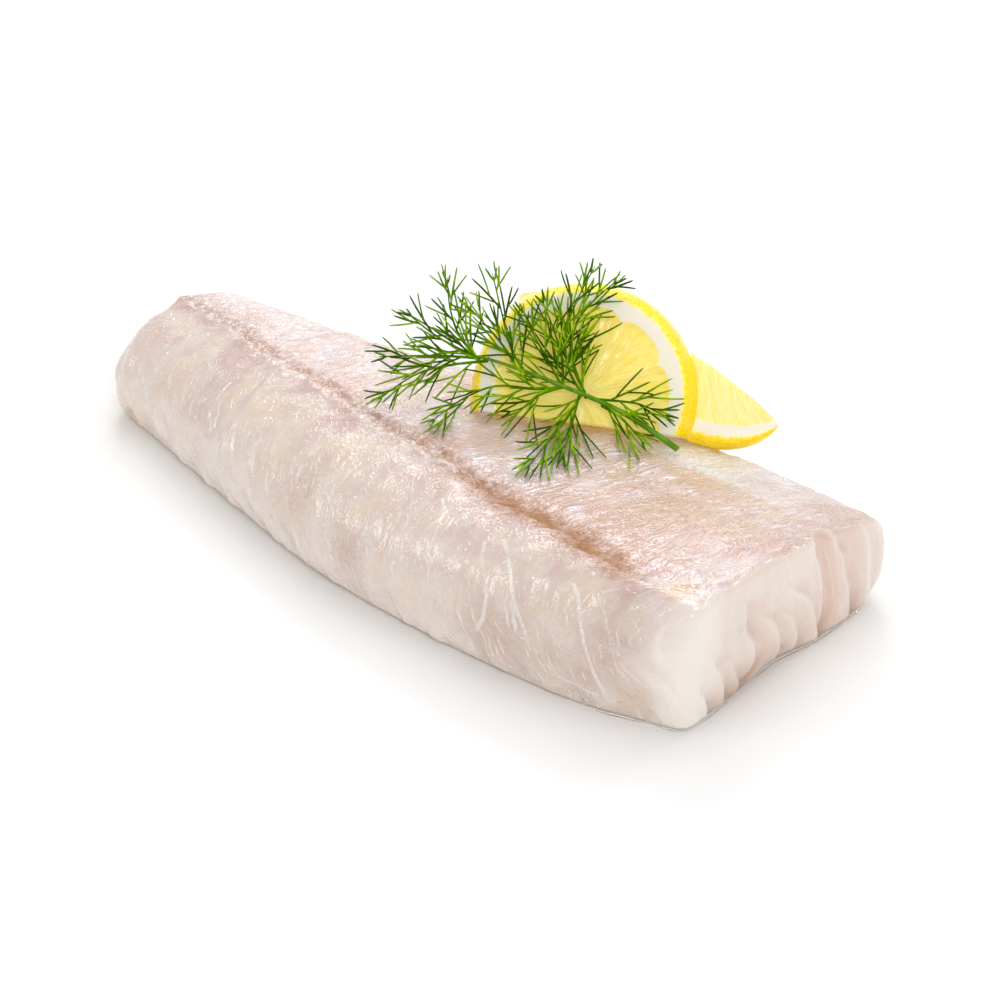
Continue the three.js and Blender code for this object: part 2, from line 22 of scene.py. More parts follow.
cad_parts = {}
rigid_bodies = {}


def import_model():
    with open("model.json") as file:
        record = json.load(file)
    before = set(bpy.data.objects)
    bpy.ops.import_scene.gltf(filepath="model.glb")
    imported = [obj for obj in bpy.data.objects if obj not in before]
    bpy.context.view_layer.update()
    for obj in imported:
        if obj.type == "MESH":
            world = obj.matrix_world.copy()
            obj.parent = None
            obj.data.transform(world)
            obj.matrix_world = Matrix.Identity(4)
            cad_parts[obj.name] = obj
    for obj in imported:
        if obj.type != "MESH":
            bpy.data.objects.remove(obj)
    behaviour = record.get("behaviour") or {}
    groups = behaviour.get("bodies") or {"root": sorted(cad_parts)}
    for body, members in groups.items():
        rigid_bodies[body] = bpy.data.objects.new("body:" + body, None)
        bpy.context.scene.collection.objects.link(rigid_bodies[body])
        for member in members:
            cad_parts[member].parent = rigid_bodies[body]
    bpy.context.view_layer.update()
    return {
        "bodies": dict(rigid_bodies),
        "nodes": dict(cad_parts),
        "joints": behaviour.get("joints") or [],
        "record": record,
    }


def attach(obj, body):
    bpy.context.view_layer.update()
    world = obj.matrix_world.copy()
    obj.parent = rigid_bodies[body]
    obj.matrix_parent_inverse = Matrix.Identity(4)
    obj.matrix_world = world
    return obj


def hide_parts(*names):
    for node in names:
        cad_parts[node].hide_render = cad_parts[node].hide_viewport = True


LOG = logging.getLogger("saithe_loin")
MM = 0.001

ATTRIBUTE = "ShaderNodeAttribute"
BUMP = "ShaderNodeBump"
CELLS = "ShaderNodeTexVoronoi"
COORDINATES = "ShaderNodeTexCoord"
MATH = "ShaderNodeMath"
MIX = "ShaderNodeMix"
NOISE = "ShaderNodeTexNoise"
RANGE = "ShaderNodeMapRange"
SPLIT = "ShaderNodeSeparateXYZ"
STRETCH = "ShaderNodeVectorMath"
SOFT = {"interpolation_type": "SMOOTHSTEP"}  # for a mask with soft edges

Array = np.ndarray
Curve = bpy.types.Curve
Material = bpy.types.Material
Mesh = bpy.types.Mesh
Node = bpy.types.Node
Piece = bpy.types.Object
Tree = bpy.types.NodeTree
Source = Node | tuple[Node, str | int]


# ---- numbers


def ease(t: Array | float) -> Array:
    """Smooth step from 0 to 1 as t goes from 0 to 1."""
    c = np.clip(t, 0.0, 1.0)
    return c * c * (3.0 - 2.0 * c)


def hill(distance: Array, half_width: float) -> Array:
    """Smooth hill of height 1 and the given half width round zero."""
    return ease(1.0 - np.abs(distance) / half_width)


def bell(*shares: Array) -> Array:
    """Bell of height 1 round zero, from distances as shares of its width."""
    return np.exp(-sum(share**2 for share in shares))


def curve_through(at: Sequence[float], values: Sequence[float], x: Array) -> Array:
    """Smooth curve through measured values.

    Args:
        at: Places where the values were measured, rising.
        values: The value at each place.
        x: Where the curve is wanted.

    Returns:
        The curve's value at each x.
    """
    places = np.asarray(at, float)
    known = np.asarray(values, float)
    last = len(places) - 1
    after = np.minimum(np.arange(last + 1) + 1, last)
    before = np.maximum(np.arange(last + 1) - 1, 0)
    slopes = (known[after] - known[before]) / (places[after] - places[before])
    x = np.clip(x, places[0], places[-1])
    i = np.clip(np.searchsorted(places, x) - 1, 0, last - 1)
    span = places[i + 1] - places[i]
    t = (x - places[i]) / span
    bend = (1.0 - t) * slopes[i] - t * slopes[i + 1]
    rise = known[i + 1] - known[i]
    return known[i] + rise * t + t * (1.0 - t) * (bend * span + rise * (2.0 * t - 1.0))


def rough(points: Array, sizes: Sequence[float], shift: float = 0.0) -> Array:
    """Smooth unevenness from about -1 to 1.

    Args:
        points: Places, three columns, in millimetres.
        sizes: Size of one lump along each column, in millimetres.
        shift: Moves the pattern, so that two of them differ.

    Returns:
        One number for each place.
    """
    scaled = points / np.asarray(sizes, float) + shift
    return np.fromiter((noise.noise(p) for p in scaled.tolist()), float, len(scaled))


def numbers_from(seed: int) -> Iterator[float]:
    """Endless repeatable numbers from 0 to 1, evenly spread."""
    state = seed
    while True:
        state = (state * 1664525 + 1013904223) % 4294967296
        yield state / 4294967296


# ---- meshes


def coordinates(mesh: Mesh) -> Array:
    """Places of a mesh's vertices in millimetres, one row each."""
    places = np.zeros(len(mesh.vertices) * 3, np.float32)
    mesh.vertices.foreach_get("co", places)
    return places.reshape(-1, 3).astype(float) / MM


def normals(mesh: Mesh) -> Array:
    """Outward directions at a mesh's vertices, one row each."""
    found = np.zeros(len(mesh.vertices) * 3, np.float32)
    mesh.vertex_normals.foreach_get("vector", found)
    return found.reshape(-1, 3).astype(float)


def move_to(mesh: Mesh, places: Array) -> None:
    """Puts a mesh's vertices at places in millimetres."""
    mesh.vertices.foreach_set("co", (places * MM).astype(np.float32).ravel())
    mesh.update()


def mark(mesh: Mesh, name: str, columns: Sequence[Array]) -> None:
    """Stores three numbers at each vertex for a material to read.

    Args:
        mesh: The mesh.
        name: Name of the attribute.
        columns: Three arrays of one number for each vertex.
    """
    attribute = mesh.attributes.new(name, "FLOAT_VECTOR", "POINT")
    values = np.stack([np.broadcast_to(c, len(mesh.vertices)) for c in columns], axis=1)
    attribute.data.foreach_set("vector", values.astype(np.float32).ravel())


def linked(name: str, data: bpy.types.ID) -> Piece:
    """A new object in the scene, at the origin."""
    piece = bpy.data.objects.new(name, data)
    bpy.context.scene.collection.objects.link(piece)
    return piece


def final_mesh(piece: Piece) -> Mesh:
    """A new mesh of a piece as its modifiers or its curve's settings draw it."""
    bpy.context.view_layer.update()
    graph = bpy.context.evaluated_depsgraph_get()
    return bpy.data.meshes.new_from_object(piece.evaluated_get(graph))


def fine_copy(node: Piece, name: str, grid: float, passes: int) -> Piece:
    """Finely and evenly meshed copy of a CAD node, with its facets smoothed away.

    Args:
        node: The CAD node, which is left alone.
        name: Name of the new piece.
        grid: Side of the new faces, in millimetres.
        passes: How often the copy is smoothed.

    Returns:
        The new piece.
    """
    shape = bmesh.new()
    shape.from_mesh(node.data)
    bmesh.ops.remove_doubles(shape, verts=shape.verts, dist=1e-3 * MM)
    coarse = bpy.data.meshes.new(name + "_coarse")
    shape.to_mesh(coarse)
    shape.free()
    piece = linked(name, coarse)
    remesh = piece.modifiers.new("even_grid", "REMESH")
    remesh.mode = "VOXEL"
    remesh.voxel_size = grid * MM
    fine = final_mesh(piece)
    piece.modifiers.clear()
    piece.data = fine
    bpy.data.meshes.remove(coarse)
    shape = bmesh.new()
    shape.from_mesh(fine)
    for _ in range(passes):
        bmesh.ops.smooth_vert(
            shape,
            verts=shape.verts,
            factor=0.5,
            use_axis_x=True,
            use_axis_y=True,
            use_axis_z=True,
        )
    shape.to_mesh(fine)
    shape.free()
    fine.name = name
    fine.shade_smooth()
    return piece


def tubes(name: str, width: float, resolution: int) -> Curve:
    """An empty curve whose runs will be round tubes with closed ends, width in millimetres."""
    curve = bpy.data.curves.new(name, "CURVE")
    curve.dimensions = "3D"
    curve.bevel_depth = width * MM
    curve.bevel_resolution = resolution
    curve.use_fill_caps = True
    return curve


def add_tube(
    curve: Curve, places: Sequence[Sequence[float]], radii: Sequence[float]
) -> bpy.types.Spline:
    """Adds one tube through places in millimetres.

    Args:
        curve: What tubes() gave.
        places: Places along it.
        radii: At each place, the share of the curve's width.

    Returns:
        The tube.
    """
    spline = curve.splines.new("POLY")
    spline.points.add(len(places) - 1)
    for point, place, radius in zip(spline.points, places, radii):
        point.co = (*(Vector(place) * MM), 1)
        point.radius = radius
    return spline


def tube_mesh(curve: Curve) -> Mesh:
    """Turns a curve of tubes into a mesh of the same name."""
    drawn = linked(curve.name, curve)
    mesh = final_mesh(drawn)
    bpy.data.objects.remove(drawn)
    mesh.name = curve.name
    return mesh


def dressed(piece: Piece, material: Material) -> None:
    """Gives a piece one material in place of what its solid had."""
    piece.data.materials.clear()
    piece.data.materials.append(material)


# ---- materials


def linear(colour: str) -> tuple[float, float, float, float]:
    """Linear colour of an sRGB hex value."""
    shares = [int(colour[i : i + 2], 16) / 255 for i in (1, 3, 5)]
    parts = [s / 12.92 if s <= 0.04045 else ((s + 0.055) / 1.055) ** 2.4 for s in shares]
    return (parts[0], parts[1], parts[2], 1.0)


def add(
    tree: Tree,
    kind: str,
    values: dict[str | int, object] | None = None,
    links: dict[str | int, Source] | None = None,
    **settings: object,
) -> Node:
    """Adds a node with its settings and links.

    Args:
        tree: Node tree of the material.
        kind: Blender's name for the node.
        values: Constants by input.
        links: What feeds each input: a node's first output, or a node and one of its outputs.
        settings: Properties of the node itself.

    Returns:
        The new node.
    """
    node = tree.nodes.new(kind)
    for name, value in settings.items():
        setattr(node, name, value)
    for socket, value in (values or {}).items():
        node.inputs[socket].default_value = value
    for socket, source in (links or {}).items():
        origin, output = source if isinstance(source, tuple) else (source, 0)
        tree.links.new(origin.outputs[output], node.inputs[socket])
    return node


def layered(tree: Tree, base: Source | str, layers: list[tuple]) -> Source:
    """Lays colours over one another.

    Args:
        tree: Node tree of the material.
        base: The lowest colour, as a hex value or a source.
        layers: Pairs of a mask and the colour that shows where the mask is 1.

    Returns:
        The source of the finished colour.
    """
    under = base
    for mask, over in layers:
        values = {}
        links = {0: mask}
        for socket, colour in ((6, under), (7, over)):
            if isinstance(colour, str):
                values[socket] = linear(colour)
            else:
                links[socket] = colour
        under = (add(tree, MIX, values, links, data_type="RGBA"), 2)
    return under


def product(tree: Tree, *masks: Source) -> Source:
    """Where all of several masks hold at once."""
    result = masks[0]
    for mask in masks[1:]:
        result = add(tree, MATH, links={0: result, 1: mask}, operation="MULTIPLY")
    return result


class Surface:
    """A new material, with its shader and what the piece's mesh stores for its patterns."""

    def __init__(self, name: str, stored: Sequence[str], same_all_over: dict[str, object]) -> None:
        """Starts the material.

        Args:
            name: Name of the material.
            stored: Attributes that it reads, each also split into its three parts.
            same_all_over: Constants by the shader's socket.
        """
        self.material = bpy.data.materials.new(name)
        self.material.use_nodes = True
        self.tree = self.material.node_tree
        self.shader = self.tree.nodes["Principled BSDF"]
        for socket, value in same_all_over.items():
            self.shader.inputs[socket].default_value = value
        self.place = (add(self.tree, COORDINATES), "Object")
        self.whole = {
            name: (add(self.tree, ATTRIBUTE, attribute_name=name), "Vector") for name in stored
        }
        self.part = {
            name: add(self.tree, SPLIT, links={0: source}) for name, source in self.whole.items()
        }

    def feed(self, sources: dict[str, Source]) -> Material:
        """Links sources to the shader's sockets and gives the finished material."""
        for socket, source in sources.items():
            origin, output = source if isinstance(source, tuple) else (source, 0)
            self.tree.links.new(origin.outputs[output], self.shader.inputs[socket])
        return self.material


@dataclass(frozen=True)
class RawSaithe:
    """Raw saithe muscle, skinned and wet: cloudy, faintly pink, with white seams of membrane.

    Light sinks a few millimetres into it, so shadows on it are soft and warm, and painted emission
    brightens it as light coming through would. The wrinkled film of water on it gives many small
    hard glints, and more glints and a silvery sheen are painted into its colour.
    """

    flank: str = "#e9dcd2"
    cream: str = "#e8d1b8"
    back: str = "#e7dbe9"
    rose: str = "#d8b0aa"
    tan: str = "#dcc2c1"
    mauve: str = "#d7bab3"
    # painted shade, laid in the low places between the fibres
    shade: str = "#cfae9c"
    line: str = "#8f5a2c"
    blush: str = "#a86f42"
    # orange-brown at the thin end, low on the front corner and at the line's end, and painted
    # contact shadow along the foot
    amber_and_foot_shadow: str = "#d2aa78"
    # white of the membranes, also laid on as painted glints of the wet film
    membrane_and_glint_white: str = "#fbf7f4"
    # painted reflection: the silvery sheen on the top near the back edge
    film: str = "#e3e6ec"
    cut: str = "#f0dfd1"
    # warmer flesh towards the cut's back edge, and painted shade on the sunk side of each parting
    cut_warm_and_sunk_shade: str = "#e6c4b2"
    # painted shade on the undercut foot of the cut and down in its notches
    cut_foot_shade: str = "#bf9a7c"
    # paler flesh of the cut, with a painted highlight on the proud edge of each parting
    cut_pale_and_edge_highlight: str = "#fff6ee"
    thread: float = 1.3  # width of a bundle of fibres, in millimetres
    thread_length: float = 5.0
    crinkle: float = 1.5  # size of a wrinkle in the wet film
    stray: tuple = (7.0, 5.0)  # how far the fibres stray from their flow lines
    painted_glow: float = 0.05  # painted light: share of the colour given off as emission, in place of light coming through from behind

    def threads(self, fish: Surface) -> dict[str, Source]:
        """Patterns of the fibres, which stray about the piece's own flow lines.

        Args:
            fish: The fish's surface.

        Returns:
            Tones bands and patches, heights ridges and crinkles, and masks of what lies on top:
            white membranes, painted glints and painted shade between the fibres.
        """
        tree, place, veins = fish.tree, fish.place, fish.part["veins"]
        bends = add(tree, NOISE, {"Scale": 95, "Detail": 3}, {0: place})
        strayed = add(
            tree,
            STRETCH,
            {1: (*self.stray, 0)},
            {0: (bends, 1), 2: fish.whole["flow"]},
            operation="MULTIPLY_ADD",
        )
        along, wide = (
            add(tree, STRETCH, {1: shares}, {0: strayed}, operation="MULTIPLY")
            for shares in ((1 / self.thread, 1 / self.thread_length, 0), (0.17, 0.05, 0))
        )
        ridged = {"noise_type": "RIDGED_MULTIFRACTAL", "normalize": True}
        parts = ("Scale", "Detail", "Roughness", "Distortion", "Gain")
        ridges, crinkles, bands, patches = (
            add(tree, NOISE, dict(zip(parts, values)), {0: source}, **kind)
            for source, kind, values in (
                (along, ridged, (0.8, 5, 0.6, 0.6, 1.8)),
                (place, ridged, (1 / (self.crinkle * MM), 4, 0.6, 1.2)),
                (wide, {}, (1, 5, 0.62, 0.5)),
                (place, {}, (120, 4, 0.6, 0.6)),
            )
        )
        thick = add(tree, MATH, {1: 0.5}, {0: crinkles, 2: ridges}, operation="MULTIPLY_ADD")
        masks = {
            name: add(tree, RANGE, values, {0: source}, **SOFT)
            for name, source, values in (
                ("crowded", patches, {1: 0.4, 2: 0.62}),
                ("fine", thick, {1: 0.45, 2: 0.75, 4: 0.9}),
                # painted shade where the fibres' height is low
                ("shaded_gaps", thick, {1: 0.36, 2: 0.12, 4: 0.6}),
                ("thin", (veins, "X"), {1: 0.8, 2: 0.05, 4: 0.82}),
                ("whole", patches, {1: 0.38, 2: 0.55, 3: 0.3}),
                # painted glints on the crests of the film's wrinkles
                ("painted_crinkle_glints", crinkles, {1: 0.42, 2: 0.66, 4: 0.75}),
                ("streaks", bands, {1: 0.4, 2: 0.6}),
                ("crumbly", (fish.part["flow"], "X"), {1: 20, 2: -10, 3: 0.1}),
            )
        }
        dense = add(
            tree, MATH, {1: 0.55}, {0: masks["crowded"], 2: (veins, "Y")}, operation="MULTIPLY_ADD"
        )
        return {
            "bands": bands,
            "patches": patches,
            "ridges": ridges,
            "crinkles": crinkles,
            "crumbly": masks["crumbly"],
            "painted_crinkle_glints": product(tree, masks["painted_crinkle_glints"], masks["streaks"], (veins, "Y")),
            "wisps_and_glints": product(tree, masks["fine"], dense),
            "shaded_gaps": product(tree, masks["shaded_gaps"], dense),
            "septa": product(tree, masks["thin"], masks["whole"]),
        }

    def cut_colour(self, fish: Surface) -> tuple[Source, Source]:
        """Colour and height of the fibres of the square cut, whose flakes stand side by side, with
        painted shade on the sunk sides and the foot and painted highlights on the proud edges.
        """
        tree, tint = fish.tree, fish.part["tints"]
        along = add(
            tree, STRETCH, {1: (0.3, 0.06, 0)}, {0: fish.whole["cut"]}, operation="MULTIPLY"
        )
        grain = add(
            tree, NOISE, {"Scale": 1, "Detail": 3, "Roughness": 0.5, "Distortion": 1.1}, {0: along}
        )
        veil = add(tree, RANGE, {1: 0.45, 2: 0.75, 4: 0.3}, {0: grain})
        layers = [
            # warmer flesh, and painted shade on the sunk side of each parting
            ((tint, "Y"), self.cut_warm_and_sunk_shade),
            (veil, self.cut_pale_and_edge_highlight),
            ((tint, "X"), self.cut_pale_and_edge_highlight),
            # painted shade at the foot of the cut
            ((tint, "Z"), self.cut_foot_shade),
        ]
        return layered(tree, self.cut, layers), grain

    def body_colour(self, fish: Surface, threads: dict[str, Source]) -> Source:
        """Colour of the flank and the top, with painted shade, contact shadow, glints and sheen
        among the flesh's own tones.

        Args:
            fish: The fish's surface.
            threads: What threads() gave.

        Returns:
            The source of the colour.
        """
        tree, place = fish.tree, fish.place
        flow, tint, vein, zone = (fish.part[name] for name in ("flow", "tints", "veins", "zones"))
        distance = add(tree, MATH, links={0: (flow, "Y")}, operation="ABSOLUTE")
        height = add(tree, SPLIT, links={0: place})
        blotches = add(tree, NOISE, {"Scale": 70, "Detail": 4, "Distortion": 1.0}, {0: place})
        grains = add(tree, NOISE, {"Scale": 420, "Detail": 5, "Roughness": 0.7}, {0: place})
        masks = {
            name: add(tree, RANGE, values, {0: source}, **SOFT)
            for name, source, values in (
                ("beyond", (flow, "Y"), {1: -12, 2: 4, 4: 0.85}),
                ("upper", (height, "Z"), {1: 12 * MM, 2: 28 * MM, 3: 0.2}),
                ("near", distance, {1: 32, 2: 6, 4: 0.9}),
                ("blotch", blotches, {1: 0.42, 2: 0.62}),
                ("warm", blotches, {1: 0.52, 2: 0.36, 4: 0.6}),
                ("rosy", threads["bands"], {1: 0.5, 2: 0.62}),
                ("tanned", threads["bands"], {1: 0.47, 2: 0.36}),
                ("white", grains, {1: 0.54, 2: 0.64}),
                ("brown", grains, {1: 0.52, 2: 0.36, 4: 0.8}),
            )
        }
        milky = add(tree, RANGE, {1: 0.45, 2: 0.75, 4: 0.4}, {0: threads["patches"]})
        soft = add(tree, MATH, {1: 0.95}, {0: (zone, "Y")}, operation="MULTIPLY")
        behind = product(tree, masks["beyond"], masks["upper"])
        layers = [
            (masks["warm"], self.cream),
            (behind, self.back),
            (milky, self.membrane_and_glint_white),
            (product(tree, masks["near"], masks["blotch"]), self.mauve),
            (product(tree, behind, masks["rosy"]), self.rose),
            (product(tree, behind, masks["tanned"]), self.tan),
            ((tint, "Y"), self.rose),
            # painted shade in the low places between the fibres
            (threads["shaded_gaps"], self.shade),
            ((tint, "X"), self.cut_pale_and_edge_highlight),
            (soft, self.blush),
            (product(tree, (zone, "Y"), masks["brown"]), self.line),
            # white grains on the crumbly part of the line: partly pale crumbs, partly painted
            # glints
            (product(tree, (zone, "Y"), masks["white"], threads["crumbly"]), self.membrane_and_glint_white),
            # orange-brown patches, and painted contact shadow along the foot
            ((zone, "Z"), self.amber_and_foot_shadow),
            # painted reflection: a silvery sheen on the top near the back edge
            ((vein, "Z"), self.film),
            # painted glints on the crests of the film's wrinkles on the top
            (product(tree, threads["painted_crinkle_glints"], behind), self.membrane_and_glint_white),
            # thin white lines where the film is most wrinkled: partly white membrane, partly
            # painted glints
            (threads["wisps_and_glints"], self.membrane_and_glint_white),
            (threads["septa"], self.membrane_and_glint_white),
        ]
        return layered(tree, self.flank, layers)

    def relief(self, fish: Surface, threads: dict[str, Source]) -> Source:
        """Height of the wrinkled wet surface, from fibres, wrinkles and crumbs at the line."""
        tree = fish.tree
        crumbs = add(tree, NOISE, {"Scale": 750, "Detail": 3, "Roughness": 0.6}, {0: fish.place})
        both = add(
            tree, MATH, links={0: threads["ridges"], 1: threads["crinkles"]}, operation="ADD"
        )
        film = (fish.part["veins"], "Y")
        lively = add(tree, MATH, {1: 1.05, 2: 0.38}, {0: film}, operation="MULTIPLY_ADD")
        rows = product(tree, both, lively)
        here = product(tree, (fish.part["zones"], "Y"), threads["crumbly"])
        return add(tree, MATH, links={0: crumbs, 1: here, 2: rows}, operation="MULTIPLY_ADD")

    def material(self) -> Material:
        """Builds the material."""
        fish = Surface(
            "raw_saithe",
            ("flow", "cut", "tints", "veins", "zones"),
            {
                "Emission Strength": self.painted_glow,
                "Roughness": 0.4,
                "IOR": 1.36,
                "Subsurface Weight": 0.3,
                "Subsurface Radius": (1.0, 0.6, 0.42),
                "Subsurface Scale": 3.0 * MM,
                "Coat Roughness": 0.1,
                "Coat IOR": 1.9,
            },
        )
        tree, zone = fish.tree, fish.part["zones"]
        threads = self.threads(fish)
        body = self.body_colour(fish, threads)
        cut, grain = self.cut_colour(fish)
        colour = layered(tree, body, [((zone, "X"), cut)])
        height = self.relief(fish, threads)
        calm = add(tree, RANGE, {1: 0, 2: 1, 3: 1, 4: 0.1}, {0: (zone, "X")})
        wet, flesh = (
            add(tree, BUMP, {"Distance": depth * MM}, {"Height": height, "Strength": calm})
            for depth in (0.55, 0.3)
        )
        ribs = add(
            tree, BUMP, {"Distance": 0.25 * MM, "Strength": 0.3}, {"Height": grain, "Normal": flesh}
        )
        smooth = add(tree, RANGE, {1: 0, 2: 1, 3: 1, 4: 0}, {0: threads["crumbly"]})
        bare = product(tree, (zone, "Y"), smooth)
        film = add(tree, RANGE, {1: 0, 2: 0.8, 3: 1, 4: 0.25}, {0: bare})
        return fish.feed(
            {
                "Base Color": colour,
                # painted light: the colour is also emitted, in place of light coming through the
                # flesh
                "Emission Color": colour,
                "Normal": ribs,
                "Coat Normal": wet,
                "Coat Weight": film,
            }
        )


@dataclass(frozen=True)
class FreshLemon:
    """Cut lemon: waxy pitted zest, dry cream pith, and wet see-through flesh full of juice sacs.

    The flesh lets light through, for which its colour is also emitted as painted light, and each
    sac has its own tone and a wet glint.
    """

    name: str
    zest: str = "#ffd90e"
    zest_edge: str = "#ffe84a"
    pith: str = "#ece7d6"
    membrane: str = "#fbe88f"
    flesh: str = "#ffdf5c"
    flesh_pale: str = "#ffee8c"
    sac_edge: str = "#fff0a8"
    painted_glow: float = 0.24  # painted light: share of the colour given off as emission, in place of light through the flesh
    pore: float = 1.3  # pits of the zest, in millimetres
    sac: tuple = (1.7, 6.5, 6.0)  # width, length and depth of a juice sac, in millimetres

    def material(self) -> Material:
        """Builds the material. Attribute "rind" holds depths and "sacs" the way the sacs run."""
        lemon = Surface(
            self.name,
            ("rind", "sacs"),
            {
                "Emission Strength": self.painted_glow,
                "IOR": 1.4,
                "Subsurface Weight": 0.55,
                "Subsurface Radius": (1.0, 0.75, 0.25),
                "Subsurface Scale": 4.5 * MM,
                "Coat Weight": 0.3,
                "Coat Roughness": 0.08,
                "Coat IOR": 1.35,
            },
        )
        tree, depth = lemon.tree, lemon.part["rind"]
        pores = add(
            tree, CELLS, {"Scale": 1 / (self.pore * MM), "Randomness": 0.8}, {0: lemon.place}
        )
        ragged = add(tree, MATH, {1: 1.1}, {0: pores, 2: (depth, "X")}, operation="MULTIPLY_ADD")
        shares = tuple(1 / size for size in self.sac)
        along = add(tree, STRETCH, {1: shares}, {0: lemon.whole["sacs"]}, operation="MULTIPLY")
        wavy = add(tree, NOISE, {"Scale": 0.7, "Detail": 2}, {0: along})
        bent = add(
            tree, STRETCH, {1: (1.2, 0.5, 0.3)}, {0: (wavy, 1), 2: along}, operation="MULTIPLY_ADD"
        )
        cells, walls = (
            add(tree, CELLS, {"Scale": 1, "Randomness": 0.9}, {0: bent}, feature=feature)
            for feature in ("F1", "DISTANCE_TO_EDGE")
        )
        inner, peel, outer, wet, wall, pits, swell = (
            add(tree, RANGE, values, {0: source}, **SOFT)
            for source, values in (
                ((depth, "X"), {1: 5.2, 2: 7.0}),
                (ragged, {1: 2.3, 2: 1.1}),
                (ragged, {1: 1.6, 2: 0.6}),
                ((depth, "Y"), {1: -0.25, 2: 0.35}),
                (walls, {1: 0.1, 2: 0.0, 4: 0.3}),
                (pores, {1: 0.0, 2: 0.5}),
                (walls, {1: 0.0, 2: 0.35}),
            )
        )
        tone = add(tree, SPLIT, links={0: (cells, "Color")})
        light = add(tree, RANGE, {1: 0.0, 2: 1, 3: 0.2, 4: 0.7}, {0: (tone, "X")})
        juice = layered(tree, self.flesh, [(light, self.flesh_pale), (wall, self.sac_edge)])
        colour = layered(
            tree,
            self.pith,
            [(inner, self.membrane), (peel, self.zest_edge), (outer, self.zest), (wet, juice)],
        )
        skin = add(tree, BUMP, {"Distance": 0.3 * MM}, {"Height": pits, "Strength": outer})
        both = add(
            tree, BUMP, {"Distance": 0.16 * MM}, {"Height": swell, "Strength": wet, "Normal": skin}
        )
        dull = add(tree, RANGE, {3: 0.62, 4: 0.16}, {0: wet})
        waxy = add(tree, MIX, {3: 0.32}, {0: outer, 2: dull}, data_type="FLOAT")
        return lemon.feed(
            # painted light: the colour, zest and pith too, is also emitted
            {"Base Color": colour, "Emission Color": colour, "Normal": both, "Roughness": waxy}
        )


@dataclass(frozen=True)
class FreshDill:
    """Fresh dill: thread-like leaves with a soft satin skin, darker where they are older."""

    name: str
    dark: str
    bright: str
    shine: str = "#e6ff5a"
    patch: float = 5.0  # size of a lighter stretch, in millimetres

    def material(self) -> Material:
        """Builds the material."""
        constants = {"Roughness": 0.42, "IOR": 1.12, "Specular Tint": linear(self.shine)}
        dill = Surface(self.name, (), constants)
        tones = add(
            dill.tree, NOISE, {"Scale": 1 / (self.patch * MM), "Detail": 3}, {0: dill.place}
        )
        light = add(dill.tree, RANGE, {1: 0.35, 2: 0.68}, {0: tones}, **SOFT)
        return dill.feed({"Base Color": layered(dill.tree, self.dark, [(light, self.bright)])})


@dataclass(frozen=True)
class PlainFinish:
    """A finish that is the same all over, from the shader's constants alone."""

    name: str
    colour: str
    roughness: float
    ior: float
    clear: float = 0.0

    def material(self) -> Material:
        """Builds the material."""
        constants = {
            "Base Color": linear(self.colour),
            "Roughness": self.roughness,
            "IOR": self.ior,
            "Transmission Weight": self.clear,
        }
        return Surface(self.name, (), constants).material


# Water that ran out of the flesh: clear, seen only by its glints and its bent edges.
CLEAR_WATER = PlainFinish("clear_water", "#fbfaf7", 0.03, 1.33, clear=1.0)
# White acrylic: bright and smooth, with a faint blurred reflection.
WHITE_ACRYLIC = PlainFinish("white_board", "#fafafa", 0.3, 1.3)


# ---- the fish


